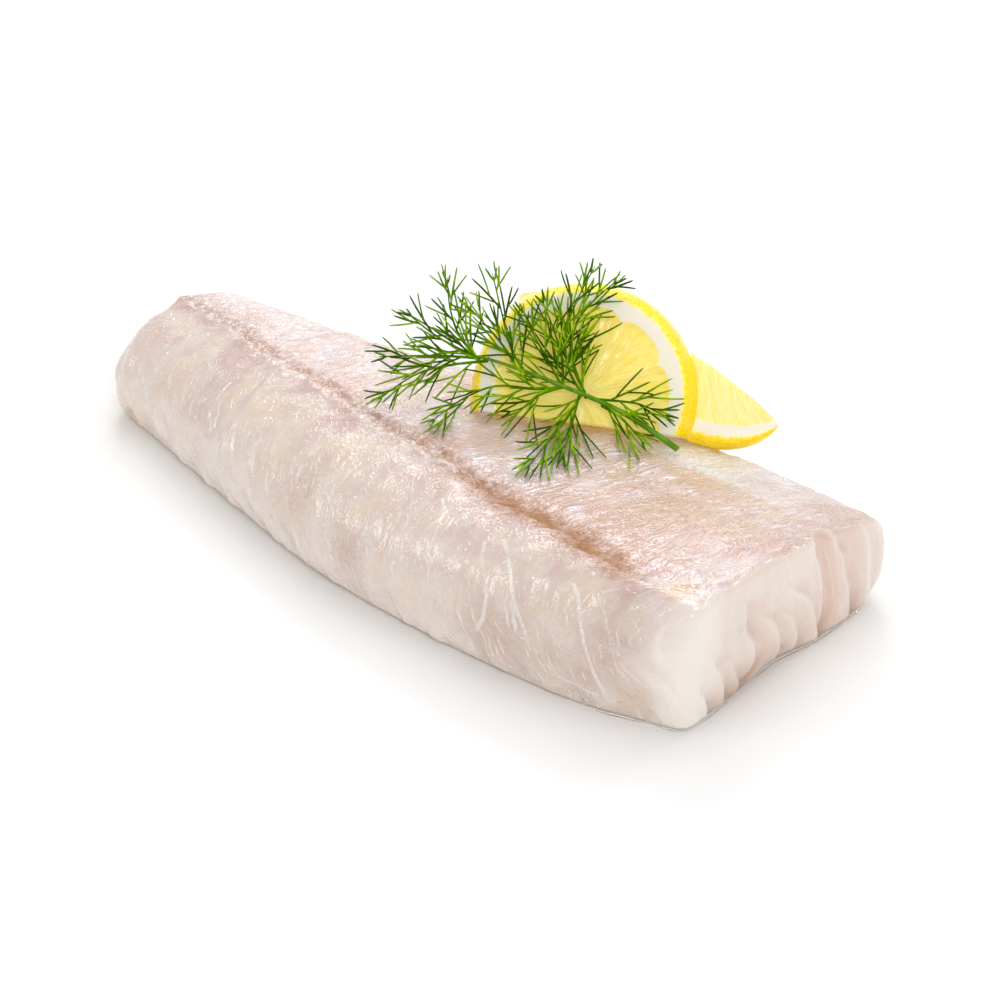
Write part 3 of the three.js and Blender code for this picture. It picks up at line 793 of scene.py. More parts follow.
@dataclass
class SaitheLoin:
    """The loin: a cut of back muscle with a centre line, flakes and a square cut end."""

    grid: float = 0.85
    at: tuple = (-110.5, -84, -42, -2, 40, 78, 100, 111)
    front: tuple = (-27.5, -33, -42, -49, -49, -45, -38, -33.5)
    line: tuple = (0.5, -5, -13, -18, -22.5, -26.3, -27.6, -28)
    back: tuple = (24, 25, 31, 39.5, 47, 49.5, 48.5, 48)
    crown: tuple = (28, 30, 33, 34, 35, 36.5, 37.5, 37.5)
    flake_pitch: float = 14.0
    flake_sweep: float = 24.0
    slant: float = 0.6  # how far a flow line runs towards the cut on its way down the flank
    # Partings of the cut's flakes: depth, height at which each ends, and [height, across] along it.
    partings: tuple = (
        (0.5, 14, ((0, -24), (6, -25.6), (14, -31))), (0.5, 20, ((0, -17.5), (10, -20), (20, -25))),
        (0.5, 16, ((0, -13), (4, -11.8), (8, -14), (18, -18))),
        (0.9, 31, ((1, -12), (9, -6.5), (18, -8.5), (32, -12.5))),
        (0.6, 24, ((1, 4.5), (10, 3), (17.5, -0.5), (24, -8))),
        (0.5, 21, ((1, 12), (8.5, 10.5), (15, 7), (23, -2))),
        (0.6, 28, ((2, 20), (11, 17.2), (16, 14.5), (20.7, 9.9), (28, 1))),
        (1.0, 60, ((1, 20), (12, 21.5), (20, 19.6), (35, 16.4))),
        (0.7, 36, ((0, 34), (10, 32.3), (23, 28.3), (33, 23))),
        (0.3, 36, ((3, 41), (20, 39), (34, 34))),
    )
    # White membranes in the flank and the top: [along, distance down from the centre line].
    septa: tuple = (
        ((16, -12), (21, -17), (24, -21), (25, -26)),
        ((48, -16), (50, -20), (54, -23), (56, -26), (56, -30), (54, -33)),
        ((52, -13), (57, -16), (61, -20), (64, -24), (68, -27), (70, -30)),
        ((77, -12), (80, -14), (84, -20), (86, -24), (88, -28), (91, -34)),
        ((85, -11), (88, -13), (90, -16), (94, -21)),
        ((39, -7), (37, -12), (37, -15), (40, -19), (43, -24), (45, -29)),
        ((28, -11), (32, -15), (34, -20), (35, -25)), ((12, -14), (14, -18), (15, -22)),
        ((73, -19), (75, -22), (78, -28)), ((50, -36), (52, -39)), ((60, -36), (63, -39)),
        ((94, -11), (98, -14)), ((74, -31), (78, -33), (84, -33), (88, -33)),
        ((54, -10), (58, -6), (60, -4)), ((-18, -22), (-20, -17), (-19, -12), (-15, -7), (-8, -4)),
        ((-35, -24), (-38, -20), (-37, -15), (-34, -10), (-27, -5)),
        ((7, -38), (8, -34), (10, -27)), ((13, -36), (15, -32), (18, -28)),
        ((-58, -25), (-64, -21), (-69, -18), (-72, -10)),
        ((-88, -27), (-78, -30), (-67, -32), (-59, -35)), ((-2, -38), (-3, -33), (-4, -28)),
        ((11, -14), (12, -19), (15, -23)), ((20, -42), (15, -41), (11, -38)),
        ((81, 7), (80, 16), (79, 30)), ((56, 18), (57, 27), (60, 32), (66, 39)),
        ((67, 22), (67, 30), (69, 36)),
    )
    # Where the film is most wrinkled, and so where most glints are painted: [along, distance down,
    # reach, strength].
    lively: tuple = (
        (54, -34, 7, 0.9), (67, -35, 9, 1.0), (84, -33, 9, 1.0), (91, -21, 6, 0.6),
        (8, -36, 7, 0.7), (-14, -30, 7, 0.6), (-62, -22, 9, 0.4), (84, 34, 20, 0.5),
        (-10, 25, 40, 0.25),
    )
    finish: RawSaithe = field(default_factory=RawSaithe)

    def measure(self, places: Array) -> dict[str, Array]:
        """Where each place lies on the fish.

        Args:
            places: Places in millimetres, one row each.

        Returns:
            Arrays named away, down, swept and phase: the share of the way from the centre line to
            the widest reach, the signed distance from the line over the surface, the flow line
            and the flake's number.
        """
        x, y, z = places.T
        line = curve_through(self.at, self.line, x)
        line = line + 0.7 * np.sin(x * 0.13) + 0.4 * np.sin(x * 0.41)
        front = curve_through(self.at, self.front, x)
        back = curve_through(self.at, self.back, x)
        crown = curve_through(self.at, self.crown, x)
        ahead = y < line
        away = np.where(ahead, (line - y) / (line - front), (y - line) / (back - line))
        away = np.clip(away, 0, 1)
        down = np.hypot(y - line, np.maximum(crown - 1.2 - z, 0))
        tilt = self.slant * np.maximum(down - 14, 0)
        leans = self.flake_sweep * (1 - away) ** 2 + tilt
        swept = x - np.where(ahead, leans, self.flake_sweep + 0.3 * down)
        wave = 0.25 * np.sin(x * 0.07 + 3 * np.where(ahead, -away, away))
        phase = swept / self.flake_pitch + wave
        return {
            "away": away,
            "ahead": ahead,
            "down": np.where(ahead, -down, down),
            "swept": swept,
            "phase": phase,
        }

    def cut_place(self, places: Array) -> dict[str, Array]:
        """Place across the square cut's flakes, and how near and deep their partings are.

        Args:
            places: Places in millimetres, one row each.

        Returns:
            Arrays named across, sunk, lip and slope: a number that follows the flakes, the depth
            below the cut, and how near the proud edge and the sunk side of a parting are.
        """
        _, y, z = places.T
        sunk = np.zeros_like(y)
        lip = np.zeros_like(y)
        slope = np.zeros_like(y)
        for depth, top, path in self.partings:
            at = curve_through([p[0] for p in path], [p[1] for p in path], z)
            past = y - at
            climb = ease((top - z) / 6)
            reach = np.where(past > 0, 3.0, 0.7)
            sunk = np.maximum(sunk, depth * climb * bell(past / reach))
            lip = np.maximum(lip, climb * bell((past + 1.2) / 1.1))
            # slope: nearness to the sunk side of a parting, which gets painted shade
            slope = np.maximum(slope, depth * climb * np.exp(-past / 5.5) * (past > 0))
        long_ones = [self.partings[i][2] for i in (3, 7, 8)]
        knots = [np.full_like(y, -36.0)]
        for path in long_ones:
            knots.append(curve_through([p[0] for p in path], [p[1] for p in path], z))
        knots.append(np.full_like(y, 50.0))
        across = np.zeros_like(y)
        for i, width in enumerate((27, 28, 11, 18)):
            across += width * np.clip((y - knots[i]) / (knots[i + 1] - knots[i]), 0, 1)
        return {"across": across, "sunk": sunk, "lip": lip, "slope": slope}

    def veins(self, places: Array, found: dict[str, Array]) -> tuple[Array, ...]:
        """Distance to the nearest membrane, how wrinkled the film is and how much painted sheen it
        has.
        """
        x, y, _ = places.T
        spot = np.stack([x, found["down"]], axis=1)
        nearest = np.full(len(x), 9.0)
        for i, path in enumerate(self.septa):
            faint = 0.0 if i in (1, 2, 3) else 0.12 + 0.12 * (i % 3)
            for a, b in zip(path, path[1:]):
                a, b = np.array(a, float), np.array(b, float)
                t = np.clip((spot - a) @ (b - a) / ((b - a) @ (b - a)), 0, 1)
                away = np.linalg.norm(spot - a - t[:, None] * (b - a), axis=1)
                nearest = np.minimum(nearest, away + faint)
        nearest = nearest + 0.4 * ease((30 - x) / 22)
        rear = 0.4 + 0.9 * ease((found["down"] - 16) / 22)
        crumbly = 0.4 * bell(found["down"] / 5) * ease((50 - x) / 40)
        film = np.where(found["ahead"], 0.14, rear) + crumbly
        for along, down, reach, strength in self.lively:
            off = np.hypot(x - along, found["down"] - down)
            film = film + strength * bell(off / reach)
        # painted reflection: a silvery sheen on the top near the back edge
        painted_silver_sheen = 0.7 * hill(x - 62, 44) * ease((y - 20) / 5) * ease((49 - y) / 12)
        return nearest, np.clip(film, 0, 1.3), painted_silver_sheen

    def relief(self, places: Array, outward: Array) -> Array:
        """How far each place is pushed outwards, in millimetres.

        Args:
            places: Places in millimetres, one row each.
            outward: Directions at those places.

        Returns:
            One height for each place.
        """
        found = self.measure(places)
        x, _, z = places.T
        down = np.abs(found["down"])
        cut = self.cut_share(places, outward)
        flow = np.stack([found["swept"], found["down"], np.zeros_like(x)], axis=1)
        calm = ease(down / 5)
        folds = 0.5 * rough(flow, (5.5, 13, 1), 3.1) + 0.3 * rough(flow, (2.4, 8, 1), 7.7)
        folds = folds * (0.8 + 0.8 * rough(places, (19, 17, 15), 6.6))
        swells = 0.7 * rough(places, (26, 22, 18), 1.3) + 0.35 * rough(places, (8, 8, 8), 4.9)
        line_here = ease((70 - x) / 50) * bell(down / 3.8)
        crags = 1.0 * rough(places, (2.6, 2.0, 2), 5.2) + 0.6 * rough(places, (1.3, 1.3, 1.3), 9.4)
        crags = crags + 0.8 * ease((40 - x) / 50)
        smooth_line = ease((x - 10) / 40) * ease((112 - x) / 10)
        valley = smooth_line * (0.8 * bell(down / 1.8) - 0.9 * bell(down / 4.5))
        fold_edge = 0.8 * hill(x - 44, 42) * ease((22.5 - places[:, 1]) / 2.4)
        fold_edge = fold_edge * ease((places[:, 1] - 8) / 9) * ~found["ahead"]
        edge = np.minimum(found["phase"] % 1, 1 - found["phase"] % 1) * self.flake_pitch
        septa = 0.18 * bell(edge / 0.9) * calm
        foot = 1.3 * rough(places, (7, 12, 12), 8.8) * ease((14 - z) / 9)
        foot = foot + 0.7 * rough(places, (2.6, 4, 4), 5.8) * ease((6 - z) / 4)
        foot = foot - bell(edge / 2.2) * ease((10 - z) / 8)
        body = folds * calm + septa + swells + crags * line_here + foot + fold_edge + valley
        flakes = self.cut_place(places)
        shells = np.stack([flakes["across"], z * 0.25, np.zeros_like(x)], axis=1)
        notch = 0.9 + 1.5 * ease((9 - z) / 8)
        face = 0.25 * (rough(shells, (4.2, 5, 1), 2.2) + flakes["lip"]) - notch * flakes["sunk"]
        return (body * (1 - cut) + face * cut) * ease((outward[:, 2] + 0.75) / 0.35)

    def cut_share(self, places: Array, outward: Array) -> Array:
        """How much each place belongs to the square cut, from 0 to 1."""
        return ease((outward[:, 0] - 0.35) / 0.35) * ease((places[:, 0] - 99) / 5)

    def mark_zones(self, mesh: Mesh) -> None:
        """Stores the flow lines and the zones of colour for the finish to read."""
        places = coordinates(mesh)
        outward = normals(mesh)
        found = self.measure(places)
        x, y, z = places.T
        mark(mesh, "flow", (found["swept"], found["down"], found["phase"]))
        flakes = self.cut_place(places)
        mark(mesh, "cut", (flakes["across"], z, flakes["sunk"]))
        # painted shade on the cut's undercut foot and in the notches of its partings
        foot = 0.9 * ease((14 - z) / 14) * hill(y + 7, 24) + 0.5 * ease((3 - z) / 3)
        foot = foot * (0.75 + 0.5 * rough(places, (5, 4, 4), 2.7)) * ease((y + 34) / 8)
        foot = np.clip(foot + 0.9 * flakes["sunk"] * ease((13 - z) / 11), 0, 0.9)
        # painted shade on the sunk side of each parting, and warmer flesh towards the back edge
        warm = np.clip(flakes["slope"] * 1.1 + 0.3 * hill(y - 28, 16), 0, 1)
        share = self.cut_share(places, outward)
        corner_pale = 0.75 * ease((x - 95) / 13) * ease((-22 - y) / 10)
        corner_pale = np.maximum(corner_pale, 0.32 * ease((15 - z) / 11) * found["ahead"])
        blood = 0.9 * bell((x - 76) / 24, (y + 12) / 12) * ~found["ahead"]
        blood = blood + 0.7 * bell((x - 66) / 26, (y + 26) / 5)
        blood = np.clip(blood * (0.9 + 0.6 * rough(places, (9, 12, 9), 3.7)), 0, 1)
        # painted highlight on the proud edge of each parting, and paler flesh towards the front
        pale = (0.22 * flakes["lip"] + 0.75 * ease((-18 - y) / 10)) * share
        warm = warm * share + blood * (1 - share)
        mark(mesh, "tints", (pale + corner_pale * (1 - share), warm, foot))
        mark(mesh, "veins", self.veins(places, found))
        shade = 0.25 + 0.45 * ease((x + 18) / 38) + 0.3 * ease((x - 20) / 25)
        shade = ease((103 - x) / 27) * shade
        wander = 2.7 + 1.3 * rough(places, (9, 9, 9), 4.4) + 1.9 * ease((x - 5) / 30)
        middle = found["down"] + 1.4 * ease((x - 10) / 30)
        line = shade * bell(middle / wander)
        line = line * (0.92 + 0.5 * rough(places, (5, 5, 5), 7.1))
        tail = ease((-78 - x) / 34) * ease((17 - z) / 15)
        corner = 0.35 * hill(x - 97, 8) * ease((18 - z) / 14) * ease((-30 - y) / 6)
        spot = 0.8 * bell((x - 102) / 3, found["down"] / 3.5)
        amber_and_foot_shadow = np.maximum(np.maximum(0.7 * tail, corner), spot)
        # painted contact shadow along the foot of the flank
        amber_and_foot_shadow = np.maximum(amber_and_foot_shadow, 0.3 * ease((2.2 - z) / 1.8))
        amber_and_foot_shadow = amber_and_foot_shadow * (1 - self.cut_share(places, outward))
        mark(mesh, "zones", (self.cut_share(places, outward), np.clip(line, 0, 1), amber_and_foot_shadow))

    def build(self, node: Piece) -> Piece:
        """Makes the loin's piece from its solid."""
        piece = fine_copy(node, "saithe_loin", self.grid, 5)
        places = coordinates(piece.data)
        outward = normals(piece.data)
        pushed = outward * self.relief(places, outward)[:, None]
        pushed[:, 2] *= ease((places[:, 2] - 0.4) / 3.5)
        move_to(piece.data, places + pushed)
        self.mark_zones(piece.data)
        dressed(piece, self.finish.material())
        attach(piece, "root")
        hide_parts("loin")
        return piece


# ---- the lemon


@dataclass
class LemonPiece:
    """A piece cut from a lemon, modelled in a frame of its own."""

    grid: float = 0.42
    pits: tuple = (0.12, 1.7)  # depth and size of the unevenness of the rind
    at: tuple = (0.0, 0.0, 0.0)

    def turns(self) -> Sequence[tuple[float, str]]:
        """Degrees and axis of each turn from the piece's own frame to the fish's."""
        return ()

    def own_places(self, places: Array) -> Array:
        """Places of the fish's frame in the piece's own frame, in millimetres."""
        frame = Matrix.Translation(self.at)
        for degrees, axis in self.turns():
            frame = frame @ Matrix.Rotation(math.radians(degrees), 4, axis)
        back = np.array(frame.inverted())
        return places @ back[:3, :3].T + back[:3, 3]

    def swell(self, mesh: Mesh, rind_share: Array, sacs: Array, swelling: Array) -> None:
        """Makes the rind uneven and the juice sacs swell.

        Args:
            mesh: The piece's mesh, whose vertices move along their normals.
            rind_share: How much each vertex belongs to the rind.
            sacs: Places among the juice sacs.
            swelling: How far each vertex stands out, in millimetres.
        """
        places = coordinates(mesh)
        depth, size = self.pits
        bumpy = depth * rough(places, (size, size, size), 6.1) * rind_share
        move_to(mesh, places + normals(mesh) * (bumpy + swelling)[:, None])
        mark(mesh, "sacs", sacs.T)


@dataclass
class LemonSlice(LemonPiece):
    """Half of a thick lemon slice, leaning back on the wedge; its own face looks along -Y."""

    thickness: float = 8.5
    face_radius: float = 28.3
    flare: float = 2.3
    flesh_radius: float = 23.6
    corner: float = 2.4
    segments: int = 9
    first: float = 28.0
    at: tuple = (27.4, 21.1, 40.1)
    turn: float = 34.0
    lean: float = 36.0
    roll: float = -2.8
    finish: FreshLemon = field(default_factory=lambda: FreshLemon("fresh_lemon_slice"))

    def turns(self) -> Sequence[tuple[float, str]]:
        """Turned on the fish, leant back and rolled in its own plane."""
        return ((self.turn, "Z"), (-self.lean, "X"), (-self.roll, "Y"))

    def measure(self, own: Array) -> dict[str, Array]:
        """Depths below the rind and inside the flesh, in the slice's own frame."""
        x, y, z = own.T
        radius = np.hypot(x, z)
        angle = np.degrees(np.arctan2(z, x))
        angle = np.where(angle < -90, angle + 360, angle)
        flare = self.flare * np.clip(y / self.thickness, 0, 1)
        pitch = 360 / self.segments
        within = ((angle - self.first) / pitch) % 1
        wall = np.minimum(within, 1 - within) * math.radians(pitch) * radius
        corner = self.corner * (1 - np.sin(within * math.pi)) ** 3
        inside = self.flesh_radius + flare - corner - radius
        return {
            "radius": radius,
            "angle": angle,
            "rind": self.face_radius + flare - radius,
            "flesh": np.minimum(np.minimum(wall - 0.12, inside), radius - 1.2),
            "segment": np.floor((angle - self.first) / pitch),
        }

    def build(self, node: Piece) -> Piece:
        """Makes the slice's piece from its solid."""
        piece = fine_copy(node, "lemon_slice_half", self.grid, 2)
        own = self.own_places(coordinates(piece.data))
        found = self.measure(own)
        # Degrees become millimetres along the arc at 20 mm, where the sacs are widest.
        sacs = np.stack([found["angle"] * 0.349, found["radius"], own[:, 1]], axis=1)
        swelling = 0.12 * rough(sacs, (1.6, 7, 6), 2.9) * ease(found["flesh"])
        sacs[:, 2] += found["segment"] * 3
        self.swell(piece.data, ease(1.5 - found["rind"]), sacs, swelling)
        mark(piece.data, "rind", (found["rind"], found["flesh"], found["segment"]))
        dressed(piece, self.finish.material())
        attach(piece, "root")
        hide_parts("lemon_slice")
        return piece


@dataclass
class LemonWedge(LemonPiece):
    """A lemon wedge lying on its rind behind the slice; its own ridge is on top along X."""

    length: float = 84.0
    half_width: float = 13.5
    face: float = 21.5  # from the ridge to the rim, down a cut face
    rim_below: float = 11.5
    belly_below: float = 21.5
    tips: tuple = (-9.0, -3.0)  # heights of the stem end and the pointed end
    pith: float = 4.6
    at: tuple = (30.0, 45.7, 45.8)
    turn: float = 9.0
    dip: float = 12.0
    finish: FreshLemon = field(
        default_factory=lambda: FreshLemon(
            "fresh_lemon_wedge", flesh="#fce77e", flesh_pale="#fff5bc"
        )
    )

    def turns(self) -> Sequence[tuple[float, str]]:
        """Turned on the fish, with its far end dipped."""
        return ((self.turn, "Z"), (self.dip, "Y"))

    def build(self, node: Piece) -> Piece:
        """Makes the wedge's piece from its solid."""
        piece = fine_copy(node, "lemon_wedge_cut", self.grid, 2)
        x, y, z = self.own_places(coordinates(piece.data)).T
        share = np.clip(x / (self.length / 2), -1, 1)
        power = np.where(share < 0, 3.2, 2.8)
        full = np.maximum(1 - np.abs(share) ** power, 0.0004) ** 0.55
        half = self.half_width * full
        down = np.clip(np.abs(y) / half, 0, 1)
        tip = np.where(share < 0, self.tips[0], self.tips[1])
        rim = tip - (self.rim_below + tip) * full
        belly = tip - (self.belly_below + tip) * full
        above = np.hypot(half - np.minimum(np.abs(y), half), z - rim)
        round_share = np.hypot(y / half, (rim - z) / np.maximum(rim - belly, 0.1))
        below = (1 - np.clip(round_share, 0, 1)) * np.minimum(half, rim - belly)
        rind = np.where(z > rim, above, below)
        flesh = rind - self.pith
        # The sacs fan out from the ridge's middle, and those of the two faces differ.
        sacs = np.stack([x / (0.62 + 0.38 * down), down * self.face, np.sign(y) * 20], axis=1)
        swelling = 0.22 * rough(sacs, (1.7, 7, 6), 3.3) * ease(flesh)
        self.swell(piece.data, ease((1.2 - rind) / 0.8), sacs, swelling)
        mark(piece.data, "rind", (rind, flesh, share))
        dressed(piece, self.finish.material())
        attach(piece, "root")
        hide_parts("lemon_wedge")
        return piece


# ---- the dill


class Leaf(Enum):
    """Which part of the dill a thread is, and so which green it takes."""

    STEM = 0
    RIB = 1
    BRIGHT = 2
    SHADED = 3


@dataclass
class DillSprig:
    """A sprig of dill laid over the slice's face: a stem, its fronds and their leaflets.

    Places of the flat layout are [across, up] from the slice's centre, along its straight cut and
    along its face.
    """

    stand_off: float = 3.6
    stem: tuple = ((27, -13), (12, -4.5), (-5, 1.5), (-20.5, 6), (-28, 7.5))
    stem_radii: tuple = (0.85, 0.7, 0.55, 0.45, 0.38)
    fronds: tuple = (
        ((-27, 7), (-34, 9.5), (-41, 13), (-47.5, 17.5)),
        ((-27, 7), (-35.5, 7), (-44, 6.5), (-54.5, 5.5)),
        ((-25, 6.5), (-35.5, 4.5), (-44.5, 1), (-54, -7)),
        ((-28.5, 7.5), (-33.5, 13), (-36.5, 20), (-38, 28)),
        ((-17, 5), (-21.5, 11), (-27, 16.5), (-32.5, 21.5)),
        ((-15.5, 5), (-19, 10), (-22.5, 19.5), (-26, 30)),
        ((-5, 1.5), (-9.5, 8.5), (-13.5, 14.5), (-17, 21)),
        ((-4.5, 1), (-5.5, 9), (-8.5, 16.5), (-12.5, 24.5)),
        ((2, -1.5), (-3, 5), (-5, 14.5), (-3, 23), (1.5, 33.5)),
        ((-3.5, 7.5), (-2.5, 18), (2, 25), (7.5, 30.5)),
        ((1.5, 0), (-2, 6), (-2, 11.5), (-0.5, 16)),
        ((4, -1.5), (10, -1.5), (16.5, -2), (24.5, -5)),
        ((6, -3), (11, -5.5), (14.5, -8.5), (18.5, -12.5)),
        ((0.5, -0.6), (-3, -7.5), (-7.5, -14), (-13, -22)),
        ((0, -0.4), (-1, -7), (-2, -12.5), (-3, -18.5)),
        ((-4.5, 1), (-12, 0), (-22.5, 0), (-31.5, -4.5), (-39.5, -11.5)),
        ((-5, 1), (-10.5, -1.5), (-14, -5), (-18.5, -7)),
    )
    rib_radius: float = 0.42
    leaflet_legs: tuple = (0.33, 0.33, 0.26, 0.08)
    leaflet_shares: tuple = (0.85, 1.0, 0.95, 0.75, 0.2)
    leaflet_radius: float = 0.3
    branch_pitch: float = 3.7
    branch_lengths: tuple = (12.5, 9.0)
    branch_angle: float = 31.0
    leaflet_angle: float = 20.0
    ceiling: float = 74.6  # height of the highest tips
    clearance: float = 0.9  # between the dill and the fish under it
    shaded_share: float = 0.34  # share of the leaflets in the darker green, a copy with painted shade
    curl: float = 2.4
    greens: tuple = (
        FreshDill("dill_stem", "#54881a", "#7fa834"),
        FreshDill("dill_rib", "#3c6e00", "#669800"),
        FreshDill("dill_leaf_bright", "#558800", "#98c408"),
        FreshDill("dill_leaf_shaded", "#305600", "#4e7c00"),
    )
    bed: BVHTree | None = None
    numbers: Iterator[float] = field(default_factory=lambda: numbers_from(7))

    def axes(self, slice_: LemonSlice) -> tuple[Vector, Vector, Vector]:
        """Directions across, up and out of the slice's face."""
        turn, lean = math.radians(slice_.turn), math.radians(slice_.lean)
        across = Vector((math.cos(turn), math.sin(turn), 0))
        level = math.cos(lean)
        out = Vector((math.sin(turn) * level, -math.cos(turn) * level, math.sin(lean)))
        return across, out.cross(across), out

    def place(self, spot: Sequence[float], off: float, radius: float) -> Vector:
        """A place of the flat layout in space; what would dip into the fish bends forward over it.

        Args:
            spot: Across and up, in millimetres.
            off: How far it stands off the slice's face.
            radius: Radius of the thread there.

        Returns:
            The place, in millimetres.
        """
        across, up, out = self.axes(LemonSlice())
        at = Vector(LemonSlice().at) + across * spot[0] + up * spot[1] + out * off
        forward = Vector((0.57, -0.62, 0.54)) * 0.25
        for _ in range(200):
            hit = self.bed.ray_cast(Vector((at.x, at.y, 90)) * MM, Vector((0, 0, -1)))[0]
            if hit is None or at.z >= hit.z / MM + self.clearance + radius:
                break
            at += forward
        at.z = min(at.z, self.ceiling)
        return at

    def thread(
        self, curve: Curve, places: list[Vector], radii: Sequence[float], leaf: Leaf
    ) -> None:
        """Adds one tapering thread to the sprig's curve."""
        spline = add_tube(curve, places, radii)
        spline.material_index = leaf.value
        spline.use_smooth = True

    def rounded(self, places: list[Vector], steps: int) -> list[Vector]:
        """A smooth run of places through given ones."""
        run = []
        for i in range(len(places) - 1):
            before = places[max(i - 1, 0)]
            after = places[min(i + 2, len(places) - 1)]
            a, b = places[i], places[i + 1]
            for k in range(steps):
                t = k / steps
                lead = (b - before) * 0.5
                tail = (after - a) * 0.5
                run.append(
                    a * (2 * t**3 - 3 * t**2 + 1)
                    + lead * (t**3 - 2 * t**2 + t)
                    + b * (3 * t**2 - 2 * t**3)
                    + tail * (t**3 - t**2)
                )
        return [*run, places[-1]]

    def leaflet(
        self,
        curve: Curve,
        root: Vector,
        start: Sequence[float],
        heading: float,
        length: float,
        off: float,
        radius: float,
    ) -> list[Vector]:
        """Adds one leaflet, slightly bent and drawn out to a point.

        Args:
            curve: Curve of the whole sprig.
            root: Where it grows from, in space.
            start: The same place in the flat layout.
            heading: Its direction there, in radians.
            length: Its length in millimetres.
            off: How far its tip stands off the slice's face.
            radius: Its radius near the root.

        Returns:
            Its places in space.
        """
        bend = (next(self.numbers) - 0.5) * 0.3
        places = [root]
        spot = list(start)
        for k, leg in enumerate(self.leaflet_legs):
            turned = heading + bend * k / 2
            spot[0] += math.cos(turned) * length * leg
            spot[1] += math.sin(turned) * length * leg
            places.append(self.place(spot, off, radius))
        leaf = Leaf.SHADED if next(self.numbers) < self.shaded_share else Leaf.BRIGHT
        self.thread(curve, places, [radius * share for share in self.leaflet_shares], leaf)
        return places

    def branch(
        self,
        curve: Curve,
        root: Vector,
        start: Sequence[float],
        heading: float,
        length: float,
        off: float,
    ) -> None:
        """Adds a side branch with leaflets to its left and right."""
        tip_off = off + (next(self.numbers) - 0.5) * 2.4
        radius = self.leaflet_radius
        places = self.leaflet(curve, root, start, heading, length, tip_off, radius)
        first = 1 if next(self.numbers) < 0.5 else -1
        for i in range(2):
            share = 0.1 + 0.2 * i + 0.12 * next(self.numbers)
            side = first if i == 0 else -first
            angle = math.radians(self.leaflet_angle) * (0.75 + 0.6 * next(self.numbers))
            reach = share * 3
            k = min(int(reach), 2)
            foot = places[k].lerp(places[k + 1], reach - k)
            spot = [
                start[0] + math.cos(heading) * length * share,
                start[1] + math.sin(heading) * length * share,
            ]
            size = length * (0.8 - 0.12 * i) * (0.85 + 0.4 * next(self.numbers))
            tilt = tip_off + (next(self.numbers) - 0.5) * 1.6
            self.leaflet(curve, foot, spot, heading + side * angle, size, tilt, radius * 0.85)

    def frond(self, curve: Curve, path: Sequence, curl: float) -> None:
        """Adds a frond: a rib with branches to its left and right in turn."""
        last = len(path) - 1
        places = [
            self.place(spot, self.stand_off + curl * (i / last) ** 2, self.rib_radius)
            for i, spot in enumerate(path)
        ]
        run = self.rounded(places, 4)
        radii = [self.rib_radius * (1 - 0.6 * i / (len(run) - 1)) for i in range(len(run))]
        radii[-1] = 0.08
        self.thread(curve, run, radii, Leaf.RIB)
        legs = [math.dist(path[i], path[i + 1]) for i in range(last)]
        count = round(sum(legs) / self.branch_pitch)
        for i in range(1, count + 1):
            share = min((i - 0.5 + 0.35 * next(self.numbers)) / (count + 1.2), 0.84)
            leg = min(int(share * last), last - 1)
            t = share * last - leg
            a, b = path[leg], path[leg + 1]
            start = [a[0] + (b[0] - a[0]) * t, a[1] + (b[1] - a[1]) * t]
            heading = math.atan2(b[1] - a[1], b[0] - a[0])
            side = 1 if i % 2 == 0 else -1
            angle = math.radians(self.branch_angle) * (1.2 - 0.55 * share)
            angle *= 0.85 + 0.3 * next(self.numbers)
            near, far = self.branch_lengths
            length = (near + (far - near) * share) * (0.75 + 0.45 * next(self.numbers))
            length = min(length, ((1 - share) * sum(legs) + 2.5) / math.cos(angle))
            reach = share * (len(run) - 1)
            k = min(int(reach), len(run) - 2)
            root = run[k].lerp(run[k + 1], reach - k)
            off = self.stand_off + curl * share**2
            self.branch(curve, root, start, heading + side * angle, length, off)
        (x0, y0), (x1, y1) = path[-2], path[-1]
        ahead = math.atan2(y1 - y0, x1 - x0)
        start = [x0 + (x1 - x0) * 0.75, y0 + (y1 - y0) * 0.75]
        for turn in (-0.3, 0.3):
            size = (0.25 * math.dist(path[-2], path[-1]) + 1.5) * (0.8 + 0.5 * next(self.numbers))
            off = self.stand_off + curl
            self.leaflet(curve, run[-2], start, ahead + turn, size, off, self.leaflet_radius)

    def build(self, loin: Piece) -> Piece:
        """Makes the sprig, clear of the fish that it lies over."""
        self.bed = BVHTree.FromObject(loin, bpy.context.evaluated_depsgraph_get())
        curve = tubes("dill_sprig_threads", 1.0, 1)
        for green in self.greens:
            curve.materials.append(green.material())
        stem = [
            self.place(spot, self.stand_off, radius)
            for spot, radius in zip(self.stem, self.stem_radii)
        ]
        run = self.rounded(stem, 5)
        radii = np.interp(np.linspace(0, 4, len(run)), range(5), self.stem_radii)
        self.thread(curve, run, radii.tolist(), Leaf.STEM)
        for i, path in enumerate(self.fronds):
            self.frond(curve, path, self.curl * (1 if i % 2 == 0 else -0.3))
        piece = linked("dill_sprig_threads", tube_mesh(curve))
        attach(piece, "root")
        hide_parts("dill_sprig")
        return piece


# ---- the water


